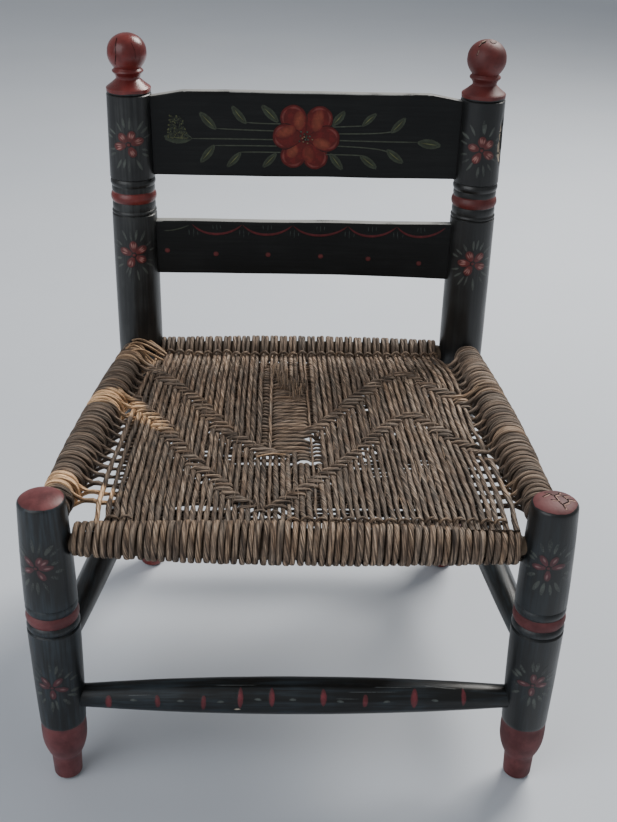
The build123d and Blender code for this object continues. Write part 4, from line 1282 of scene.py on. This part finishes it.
def parted(x, y):
    """Push of warps in x, push of wefts in y, and how much the cord is thinned, near the gaps."""
    warp_shift, weft_shift, thinned = np.zeros_like(x), np.zeros_like(x), np.zeros_like(x)
    for middle_x, middle_y, half_x, half_y, warp_push, weft_push in GAPS:
        dx, dy = (x - middle_x) / half_x, (y - middle_y) / half_y
        fall = np.exp(-(dx ** 2 + dy ** 2))
        warp_shift += warp_push * np.tanh(2.5 * dx) * fall
        weft_shift += weft_push * np.tanh(2.5 * dy) * fall
        thinned = np.maximum(thinned, fall)
    return warp_shift, weft_shift, thinned


def front_place(number):
    """Where a warp meets the front rail; the outermost ones stand off a little."""
    if number < len(FRONT_EDGE_PLACES):
        return FRONT_EDGE_PLACES[number]
    return FRONT_FIRST + FRONT_PITCH * (number - 2) + (FRONT_LAST_OFF if number == WARPS - 1 else 0.0)


def rear_place(number):
    """Where a warp meets the rear rail; the warps of a pair lean together there."""
    return REAR_FIRST + REAR_PITCH * number + (PAIR_SHIFT if number % 2 == 0 else -PAIR_SHIFT)


def warp_x(number, y):
    """The x of a warp at each y: straight from rail to rail, then bowed, parted and uneven."""
    t = (y - PANEL_FRONT) / (PANEL_REAR - PANEL_FRONT)
    share = (number - (WARPS - 1) / 2) / ((WARPS - 1) / 2)
    outward = 1 if share > 0 else -1
    straight = front_place(number) * (1 - t) + rear_place(number) * t
    straight = straight + outward * np.interp(y, BELLY_Y, BELLY[outward]) * abs(share) ** 4
    wander = 0.75 * slow_noise(y, 34, number * 1.7) + 0.35 * slow_noise(y, 11, number * 2.9)
    return straight + parted(straight, y)[0] + wander


def weft_middle(number):
    return WEFT_FIRST_Y + WEFT_PITCH * number


def weft_y(number, x):
    """A weft keeps its place in the middle and joins its partner at both sides."""
    middle = weft_middle(number)
    partner = WEFT_PITCH / 2 if (number - FRONT_ROWS) % 2 == 0 else -WEFT_PITCH / 2
    left_edge = np.interp(middle, [-60, 20], [-137, -144])
    right_edge = np.interp(middle, [-60, 0], [136, 149])
    joined = smooth_step((left_edge - x) / 7) + smooth_step((x - right_edge) / 7)
    wander = 0.5 * slow_noise(x, 40, number * 2.3 + 90) + 0.25 * slow_noise(x, 12, number * 3.1)
    return middle + partner * joined * 0.86 + parted(x, np.full_like(x, middle))[1] + wander


def crossing(number, y):
    """1 where the warp is on top, -1 where the weft is, 0 where the warp is broken away."""
    x = warp_x(number, y)
    up = np.ones_like(y)
    for zigzag in ZIGZAGS:
        line = np.array([np.interp(x + aside, *zigzag) for aside in (-FLOAT_HALF, 0, FLOAT_HALF)])
        up[(line.min(axis=0) - 1.2 < y) & (y < line.max(axis=0) + 1.2)] = -1
    if number in BROKEN:
        front_end, rear_end = BROKEN[number]
        up[(front_end < y) & (y < rear_end)] = 0
    return up


WEFT_YS = weft_middle(np.arange(WEFTS))
crossings = np.array([crossing(n, WEFT_YS) for n in range(WARPS)])
print("crossings", crossings.size, "with the weft on top", int((crossings < 0).sum()))


def between(table, position):
    """Read a row of crossings at a fractional position, easing from one to the next."""
    low = np.clip(np.floor(position).astype(int), 0, len(table) - 2)
    part = smooth_step(np.clip(position - low, 0, 1))
    return table[low] * (1 - part) + table[low + 1] * part

# %% [markdown]
# A warp rides about 2 mm above the middle plane and dips as far below it under the wefts of a
# zigzag. At both ends it dips in among the turns of cord on the rail. In the worn patch some
# warps are broken: their rear parts end in loose fibres and their front parts stop at the patch.

# %% Weave the warps
LIFT, PANEL_HALF_CORD, WIDEST_HALF = 2.15, 2.1, 2.42
WARP_FRONT, WARP_REAR = -147, 137
FRONT_DIP = [WARP_FRONT, -142, -137, -128], [-2.2, -0.9, 0.4, 0.0]      # y, how much it is lifted there
REAR_DIP = 1.6
# painted light and shade along the warps: darker at the front, brighter towards the back, darker again under
# the rear knots
WARP_LIGHT = [-140, -60, 0, 60, 110, 127, 132], [0.74, 0.80, 0.98, 1.20, 1.32, 1.2, 0.7]     # y, brightness
TORN_LENGTH, THIN_TINT = 24, 1.45


def upright_axes(count, sideways):
    """The up directions of a run's rings, tipped sideways."""
    axes = np.tile((0.0, 0.0, 1.0), (count, 1))
    axes[:, 0] = sideways
    return axes


def warp_run(number, y_from, y_to):
    """One warp, or one part of a broken one."""
    blank = panel_blanks[int(chance.integers(len(panel_blanks)))]
    y = np.linspace(y_from, y_to, blank["rings"] + 1)
    x = warp_x(number, y)
    lift = LIFT * between(crossings[number], (y - WEFT_FIRST_Y) / WEFT_PITCH)
    lift += np.interp(y, *FRONT_DIP) - REAR_DIP * smooth_step((y - 116) / 10)
    z = panel_height(x, y) + lift + 0.4 * slow_noise(y, 18, number * 3.1 + 7)
    centre = np.column_stack([x, y, z])
    t = (y - PANEL_FRONT) / (PANEL_REAR - PANEL_FRONT)
    pitch = FRONT_PITCH * (1 - t) + REAR_PITCH * t
    ragged = 0.97 + 0.20 * slow_noise(y, 17, number * 5.3) + 0.08 * slow_noise(y, 4, number * 6.1)
    thinned = parted(x, y)[2]
    wide = np.minimum(pitch / 2 * 0.97, WIDEST_HALF) * ragged * (1 - 0.28 * thinned)
    thick = PANEL_HALF_CORD * (1 + 0.08 * slow_noise(y, 16, number * 4.1)) * (1 - 0.25 * thinned)
    if number in THIN:
        wide, thick = np.full_like(wide, THIN[number]), np.full_like(thick, THIN[number])
    if number in BROKEN and y_from > 0:     # the torn rear ends taper into their fibres
        torn = smooth_step((y - y_from) / TORN_LENGTH)
        wide, thick = wide * (0.30 + 0.62 * torn), thick * (0.35 + 0.60 * torn)
    tipped = upright_axes(len(y), 0.3 * slow_noise(y, 60, number * 0.7))
    tint = THIN_TINT if number in THIN else None
    return blank, centre, tipped, wide, thick, tone_of(centre, tint, np.interp(y, *WARP_LIGHT))


warp_runs = []
for number in range(WARPS):
    if number in BROKEN:
        front_end, rear_end = BROKEN[number]
        warp_runs.append(warp_run(number, WARP_FRONT, front_end))
        warp_runs.append(warp_run(number, rear_end, WARP_REAR))
    else:
        warp_runs.append(warp_run(number, WARP_FRONT, WARP_REAR))
cord_piece("seat_warp_cord", palm, ["seat_warp_layer"], warp_runs)

# %% [markdown]
# The wefts are the mirror of the warps: high where the warp is low. Outside the first and the
# last warp each pair of wefts runs together into one thin rung, and the openings between the
# rungs let light through along both sides of the seat. One weft of each pair comes down from
# the top of the side rail and the other comes up from under it.

# %% Weave the wefts
WEFT_HALF_WIDTH, WEFT_HALF_THICK, SIDE_RISE, PATCH_RISE = 2.25, 1.95, 0.9, 0.9
TAIL_RINGS = 8          # rings of a weft between the panel and each side rail
# painted light on the wefts: brighter towards the back
WEFT_LIGHT = [-60, 60], [0.82, 1.15]        # y, brightness
THIN_RUNGS_LEFT, THIN_RUNGS_RIGHT = 22, 4       # up to these y the rungs at the sides are thinner
HOLE_THINNING = [8, 12], [0.28, 0.38]       # x, how much thinner the wefts are in the grid hole


def rail_tail(name, y, from_above):
    """Control points from the side rail's flank to the panel; from_above is 1 or -1."""
    start, end, _ = RAILS[name]
    middle = start.lerp(end, (y - start.y) / (end.y - start.y))
    along = np.array([(middle - start).length])
    inward = 1 if name == "left" else -1
    reach = float(bare_radius(name, along, (end - start).length)[0]) + 2 * CORD_HALF - 1.4
    level = level_at(150.0, y)
    points = []
    for angle, out in ((1.0, -1.0), (0.45, 0.8)):       # over the flank of the wrap
        x, z = math.cos(angle) * (reach + out), math.sin(angle) * (reach + out)
        points.append((middle.x + inward * x, y, middle.z + from_above * z))
    points.append((middle.x + inward * (reach + 2.4), y, level + from_above * 1.2))
    points.append((middle.x + inward * (reach + 7.0), y, level + from_above * 0.9))
    return points


def joined_tail(tail, meet):
    """Places along a tail, moved so that it ends where the weft begins."""
    shift = meet - np.array(tail[-1])
    shift[0] = 0
    points = [Vector(point) + Vector(shift * share) for point, share in zip(tail, (0.6, 0.8, 1, 1))]
    return [np.array(on_curve(points, t)) for t in np.linspace(0, 1, TAIL_RINGS + 1)[:-1]]


def past_warps(x, at_warps):
    """1 where a weft is outside the first and the last warp, 0 between them."""
    return smooth_step((at_warps[0] - x) / 6) + smooth_step((x - at_warps[-1]) / 6)


def weft_run(number):
    """One weft from rail to rail; the front rows stop at the second warp of each side."""
    blank = panel_blanks[int(chance.integers(len(panel_blanks)))]
    middle = weft_middle(number)
    at_warps = np.array([float(warp_x(n, np.array([middle]))[0]) for n in range(WARPS)])
    rings = blank["rings"] + 1
    above = 1 if number % 2 else -1
    if number < FRONT_ROWS:
        tails = None
        x = np.linspace(at_warps[1] - 1, at_warps[-2] + 1, rings)
    else:
        tails = [rail_tail(name, middle, above) for name in ("left", "right")]
        x = np.linspace(tails[0][-1][0], tails[1][-1][0], rings - 2 * TAIL_RINGS)
    y = weft_y(number, x)
    lift = -LIFT * between(crossings[:, number], np.interp(x, at_warps, np.arange(WARPS)))
    lift += PATCH_RISE * inside(x, middle, PATCH_RAISED)
    outside = past_warps(x, at_warps)
    lift = lift * (1 - outside) + outside * above * SIDE_RISE
    z = panel_height(x, y) + lift + 0.3 * slow_noise(x, 20, number * 1.9 + 33)
    centre = np.column_stack([x, y, z])
    if tails:
        left_end, right_end = joined_tail(tails[0], centre[0]), joined_tail(tails[1], centre[-1])
        centre = np.vstack([left_end, centre, right_end[::-1]])
    x, y = centre[:, 0], centre[:, 1]
    outside = past_warps(x, at_warps)
    near_rail = smooth_step((np.abs(np.gradient(centre[:, 2])) - 0.25) / 0.5) * outside
    open_side = 1 - smooth_step((middle - np.where(x < 0, THIN_RUNGS_LEFT, THIN_RUNGS_RIGHT)) / 14)
    hole = inside(x, middle, GRID_HOLE) * np.interp(x, *HOLE_THINNING)
    slim = 1 - (0.18 + 0.22 * open_side) * outside + 0.22 * near_rail - hole
    slim = slim * (1 - 0.48 * parted(x, y)[2])
    patch = inside(x, middle, PATCH_WIDENED)
    wide = WEFT_HALF_WIDTH * slim * (1 + 0.12 * slow_noise(x, 13, number * 2.9 + 5)) * (1 + 0.17 * patch)
    thick = WEFT_HALF_THICK * slim * (1 + 0.08 * slow_noise(x, 17, number * 3.7 + 5))
    tone = tone_of(centre, None, np.interp(middle, *WEFT_LIGHT) - 0.03 * patch, 0.07 * patch)
    return blank, centre, upright_axes(len(x), np.sign(x) * -0.8 * near_rail), wide, thick, tone


cord_piece("seat_weft_cord", palm, ["seat_weft_layer"], [weft_run(number) for number in range(WEFTS)])

# %% [markdown]
# ## Wraps round the rails
# Each turn of a wrap is a short bent rope that goes once round its rail and moves on by its
# own width; on the rear rail one turn stands behind each warp. The turns are flat, because the
# cord was pulled tight while it was damp. On the side rails two turns lean together to the
# place where a pair of wefts leaves, which makes the dark notches along the inner edge; the
# cord in them is painted darker, as painted shade.

# %% One turn round a rail
FRONT_WRAP_RISE = [20, 100, 186, 280, 350], [3.6, 1.8, 0.8, 0.0, -1.6]      # along the rail, rise
WRAP_GAP, TURN_HALF_THICK, TURN_LENGTH = 0.3, CORD_HALF - 0.4, 60


def rail_turn(name, blank, along_start, along_end, half_width, gather=None, bulge=0.0, tint=None,
              light=1.0, warm=0.0):
    """One turn of cord round a rail, from the underside back to the underside."""
    start, end, _ = RAILS[name]
    length = (end - start).length
    axis = (end - start).normalized()
    upward = (Vector((0, 0, 1)) - axis * axis.z).normalized()
    side = axis.cross(upward)
    share = np.linspace(0, 1, blank["rings"] + 1)
    angle, travelled = share * math.tau, share * TURN_LENGTH
    wander = chance.uniform(0, 500)
    along = along_start + (along_end - along_start) * share + 0.55 * slow_noise(travelled, 16, wander)
    inner = np.zeros_like(angle)
    if gather is not None:
        inner_side = math.pi / 2 if name == "left" else 3 * math.pi / 2
        inner = np.exp(-((angle - inner_side) / 0.72) ** 2)
        along = along + (gather - along) * 0.72 * inner
    radius = bare_radius(name, along, length) + WRAP_GAP + CORD_HALF + bulge - 0.9 * inner
    radius += 0.2 * slow_noise(travelled, 12, wander + 9)
    outward = -np.cos(angle)[:, None] * np.array(upward) + np.sin(angle)[:, None] * np.array(side)
    centre = np.array(start) + along[:, None] * np.array(axis) + radius[:, None] * outward
    if name == "front":     # the wrap sits higher on its left end and lower on its right
        centre += np.interp(along, *FRONT_WRAP_RISE)[:, None] * np.array(upward)
    wide = half_width * (1 - 0.42 * inner) * (1 + 0.07 * slow_noise(travelled, 9, wander + 3))
    thick = TURN_HALF_THICK * (1 + 0.06 * slow_noise(travelled, 10, wander + 5))
    # painted shade down in the notch: the inner part of a turn is darker
    return blank, centre, outward, wide, thick, tone_of(centre, tint, light * (1 - 0.25 * inner), warm)

# %% Wrap the rails
FRONT_TURNS, SIDE_TURNS, POST_GAP, GATHER_REACH = 62, 47, 0.6, 9
# painted shade: the side wraps are darker, the rear wrap darker still
SIDE_WRAP_LIGHT, REAR_WRAP_LIGHT = 0.84, 0.67


def even_turns(name, count, half_width):
    """Turns side by side from post to post, each a little off its place."""
    start, end, _ = RAILS[name]
    length = (end - start).length
    first, last = POST_RADIUS + POST_GAP + half_width, length - POST_RADIUS - POST_GAP - half_width
    pitch = (last - first) / (count - 1)
    return [(first + pitch * number + random.uniform(-0.35, 0.35), pitch) for number in range(count)]


front_turns = []
for middle, pitch in even_turns("front", FRONT_TURNS, 2.7):
    lean = random.uniform(-1.0, 1.0)
    front_turns.append(rail_turn("front", turn_blanks[int(chance.integers(3))], middle - pitch / 2 - lean,
                                 middle + pitch / 2 + lean, random.uniform(2.4, 2.8),
                                 bulge=random.uniform(-0.3, 0.35), tint=random.uniform(0.55, 1.0),
                                 warm=random.uniform(0.03, 0.13)))
cord_piece("front_rail_cord", palm, ["front_rail_wrap"], front_turns)

for side_name in ("left", "right"):
    rail_start, rail_end, _ = RAILS[side_name]
    lean_y = (rail_end.y - rail_start.y) / (rail_end - rail_start).length
    rungs = [(weft_middle(n + 0.5) - rail_start.y) / lean_y for n in range(FRONT_ROWS, WEFTS, 2)]
    side_turns = []
    for middle, pitch in even_turns(side_name, SIDE_TURNS, 2.8):
        nearest = min(rungs, key=lambda rung: abs(rung - middle))
        gather = nearest if abs(nearest - middle) < GATHER_REACH else None
        side_turns.append(rail_turn(side_name, bundle_blanks[int(chance.integers(3))], middle - pitch / 2,
                                    middle + pitch / 2, random.uniform(2.6, 3.1), gather,
                                    random.uniform(-0.35, 0.35), light=SIDE_WRAP_LIGHT))
    cord_piece(side_name + "_rail_cord", palm, [side_name + "_rail_wrap"], side_turns)

rear_turns = []
for number in range(WARPS):     # one turn behind each warp that ends clear of the posts
    middle = rear_place(number) - RAILS["rear"][0].x
    if POST_RADIUS + 0.8 < middle < REAR_RIGHT_X - REAR_LEFT_X - POST_RADIUS - 0.8:
        rear_turns.append(rail_turn("rear", turn_blanks[number % 3], middle - 0.5, middle + 0.5,
                                    random.uniform(1.8, 2.15), bulge=random.uniform(-0.3, 0.3),
                                    light=REAR_WRAP_LIGHT))
cord_piece("rear_rail_cord", palm, ["rear_rail_wrap"], rear_turns)

# %% [markdown]
# ## Knots, loose fibres and corner cords
# One cord is twined along the rear edge, over each pair of warps and down between the pairs.
# It gives the row of small arches there, and a shorter row behind the front rail.

# %% Twine the edges
def free_run(blank, points, half_width, half_thick, tint, golden, taper=0.0):
    """A run of cord along a smooth curve through its control points."""
    share = np.linspace(0, 1, blank["rings"] + 1)
    centre = np.array([on_curve([Vector(p) for p in points], t) for t in share])
    size = 1 - taper * share ** 1.5
    up_axis = np.tile((0.05, 0.1, 1.0), (len(share), 1))
    tone = np.column_stack([np.full(len(share), tint), np.full(len(share), golden), np.ones(len(share))])
    return blank, centre, up_axis, half_width * size, half_thick * size, tone


def twined_arch(first_x, last_x, y, height, half):
    """One arch of the twined cord, over a pair of warps."""
    base = level_at(first_x, y)
    points = [(first_x, y + 2.2, base - 2), (first_x + 0.3, y - 0.6, base + height),
              (last_x - 0.3, y - 0.6, base + height + 0.5), (last_x, y + 2.2, base - 2)]
    return free_run(knot_blank, points, half, half * 0.95, random.uniform(0.75, 1.25),
                    random.uniform(0, 0.15))


REAR_TWINE_Y, FRONT_TWINE_Y = 129, -141
LEFT_KNOTS, RIGHT_KNOTS_FROM = (1, 3), 27       # the front row has none between these warps
knots = []
for pair in range(WARPS // 2):
    left, right = rear_place(2 * pair) - 2.3, rear_place(2 * pair + 1) + 2.3
    back = 3 if pair < 3 else 0
    knots.append(twined_arch(left, right, REAR_TWINE_Y + back + random.uniform(-1.3, 1.3),
                             random.uniform(6.8, 8.2), 1.6))
for number in range(1, WARPS - 1, 2):
    if number >= RIGHT_KNOTS_FROM or number in LEFT_KNOTS:
        left, right = front_place(number) - 2.4, front_place(number + 1) + 2.4
        knots.append(twined_arch(left, right, FRONT_TWINE_Y + random.uniform(-1.0, 1.0),
                                 random.uniform(8.0, 9.2), random.uniform(1.1, 1.5)))
cord_piece("edge_knots", palm, [], knots)

# %% [markdown]
# Where the broken warps end, each one opens into a tuft of fibres. All over the rest of the
# panel single hairs have lifted, as they do on any old leaf cord. Both are thin, tapered runs.

# %% Fray the worn patch and lift the hairs
CLEAN_ENDS = (23, 32)       # broken warps without a tuft
TUFT_FIBRES, HAIRS = 11, 950
HAIRLESS_X, HAIRLESS_Y = (-34, 22), (-75, 96)       # the worn patch
loose = []
for number, (_, rear_end) in BROKEN.items():
    if number in CLEAN_ENDS:
        continue
    for _ in range(TUFT_FIBRES):
        x = float(warp_x(number, np.array([float(rear_end)]))[0]) + random.uniform(-3.5, 3.5)
        base = level_at(x, float(rear_end))
        back, reach, swing = random.uniform(2, 26), random.uniform(2, 20), random.uniform(-5, 5)
        path = [(x, rear_end + back, base + 3.4),
                (x + swing, rear_end + back * 0.4, base + random.uniform(5, 7)),
                (x - swing * 0.6, rear_end - reach * 0.5, base + 4.5),
                (x + swing, rear_end - reach, base + 2.4)]
        loose.append(free_run(fibre_blank, path, random.uniform(0.25, 0.75), 0.3, random.uniform(0.6, 1.9),
                              random.uniform(0.0, 0.35), 0.7))
for _ in range(HAIRS):
    x, y = random.uniform(-128, 128), random.uniform(-132, 116)
    if HAIRLESS_X[0] < x < HAIRLESS_X[1] and HAIRLESS_Y[0] < y < HAIRLESS_Y[1]:
        continue
    base = level_at(x, y)
    reach, lean = random.uniform(8, 24), random.uniform(-2.4, 2.4)
    path = [(x, y, base + 3.2), (x + lean * 0.3, y + reach * 0.5, base + random.uniform(4.4, 5.4)),
            (x + lean, y + reach, base + 3.0)]
    loose.append(free_run(fibre_blank, path, random.uniform(0.16, 0.36), 0.2, random.uniform(0.5, 2.0),
                          random.uniform(0, 0.12)))
cord_piece("loose_fibres", palm, [], loose)

# %% [markdown]
# At the rear left corner a few pale lengths of cord cross from the rail to the panel. One more
# loose strand of the same leaf lies over the worn patch, so it is made with them.

# %% Cross the corner
CORNER_CORDS = [    # control points from the left rail to the rear corner
    [(-154, 116, 266), (-146, 122, 271), (-135, 120, 262), (-123, 122, 253)],
    [(-152, 124, 267), (-144, 129, 270), (-134, 126, 263), (-121, 126, 253)],
    [(-152, 106, 264), (-143, 113, 268), (-134, 112, 259), (-123, 116, 251)],
    [(-156, 110, 265), (-148, 118, 271), (-142, 113, 262), (-131, 110, 252)],
    [(-148, 130, 267), (-141, 133, 268), (-134, 130, 263), (-123, 129, 254)],
]
TOP_STRAND = [(-32.5, -55.3, 248.8), (-26, -53.4, 250.4), (-18, -52.6, 250.5), (-10, -51.9, 249.2)]
crossing_cords = [free_run(turn_blanks[2], path, random.uniform(0.9, 1.4), 1.1, random.uniform(1.0, 1.4),
                           random.uniform(0.3, 0.75)) for path in CORNER_CORDS]
crossing_cords.append(free_run(turn_blanks[2], TOP_STRAND, 1.0, 0.8, 1.25, 0.5))
print("crossing cords:", len(crossing_cords))
cord_piece("corner_cords", palm, [], crossing_cords)

# %% [markdown]
# ## The rails under the cord
# The rails are the CAD solids themselves. They are plain wood, darkened by age, and only
# glimpses of them show between the turns.

# %% Aged bare wood on the rails
AGED_DARK, AGED_LIGHT = (0.060, 0.040, 0.025, 1), (0.16, 0.11, 0.068, 1)
GRAIN_RELIEF = 0.3 * MM


def aged_wood(name):
    """Plain wood, brown with age, with a coarse grain."""
    material, tree, surface = new_material(name)
    where = node(tree, "TexCoord").outputs["Object"]
    streak = grain_noise(tree, where, 160, (0.3, 0.3, 1), detail=5.0)
    colour = blend_colours(tree, streak, AGED_DARK, AGED_LIGHT)
    feed(tree, surface, colour, stepped(tree, streak, 0.3, 0.7, 0.6, 0.8), streak, GRAIN_RELIEF)
    return material


rail_wood = aged_wood("aged_rail_wood")
for rail_name in RAILS:
    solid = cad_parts[rail_name + "_seat_rail"]
    solid.data.materials.clear()
    solid.data.materials.append(rail_wood)
print("rails painted with", rail_wood.name)

# %% [markdown]
# ## Floor and light
# A pale floor fills the view. A large soft light stands behind the chair on the right, as an
# afternoon sun would, and a wide, weak one fills from the front left.

# %% Floor and lights
FLOOR_DARK, FLOOR_LIGHT, FLOOR_SIZE = (0.57, 0.61, 0.67, 1), (0.63, 0.665, 0.715, 1), 14.0


def pale_floor():
    """Smooth, faintly clouded boards or plaster."""
    material, tree, surface = new_material("pale_floor")
    cloud = grain_noise(tree, node(tree, "TexCoord").outputs["Object"], 3.0)
    colour = blend_colours(tree, cloud, FLOOR_DARK, FLOOR_LIGHT)
    feed(tree, surface, colour, stepped(tree, cloud, 0.3, 0.7, 0.7, 0.8))
    return material


floor_bm = bmesh.new()
bmesh.ops.create_grid(floor_bm, x_segments=4, y_segments=4, size=FLOOR_SIZE)
floor_mesh = bpy.data.meshes.new("floor")
floor_bm.to_mesh(floor_mesh)
floor_bm.free()
floor_mesh.materials.append(pale_floor())
floor = bpy.data.objects.new("floor", floor_mesh)
bpy.context.scene.collection.objects.link(floor)


SEAT_MIDDLE = Vector((0, 0, 0.25))


def soft_light(name, place, size, power, colour):
    """A square area light that looks at the seat."""
    data = bpy.data.lights.new(name, "AREA")
    data.shape, data.size, data.energy, data.color = "SQUARE", size, power, colour
    lamp = bpy.data.objects.new(name, data)
    lamp.location = place
    lamp.rotation_euler = (SEAT_MIDDLE - Vector(place)).to_track_quat("-Z", "Y").to_euler()
    bpy.context.scene.collection.objects.link(lamp)


soft_light("key_light", (1.1, 1.3, 2.0), 1.1, 76, (1.0, 0.97, 0.92))
soft_light("fill_light", (-1.8, -1.6, 1.7), 2.2, 36, (0.95, 0.97, 1.0))
world = bpy.data.worlds.new("pale_room")
world.use_nodes = True
sky = world.node_tree.nodes["Background"]
sky.inputs["Color"].default_value, sky.inputs["Strength"].default_value = (0.93, 0.96, 1.0, 1), 0.38
bpy.context.scene.world = world

# %% Update the scene
bpy.context.view_layer.update()
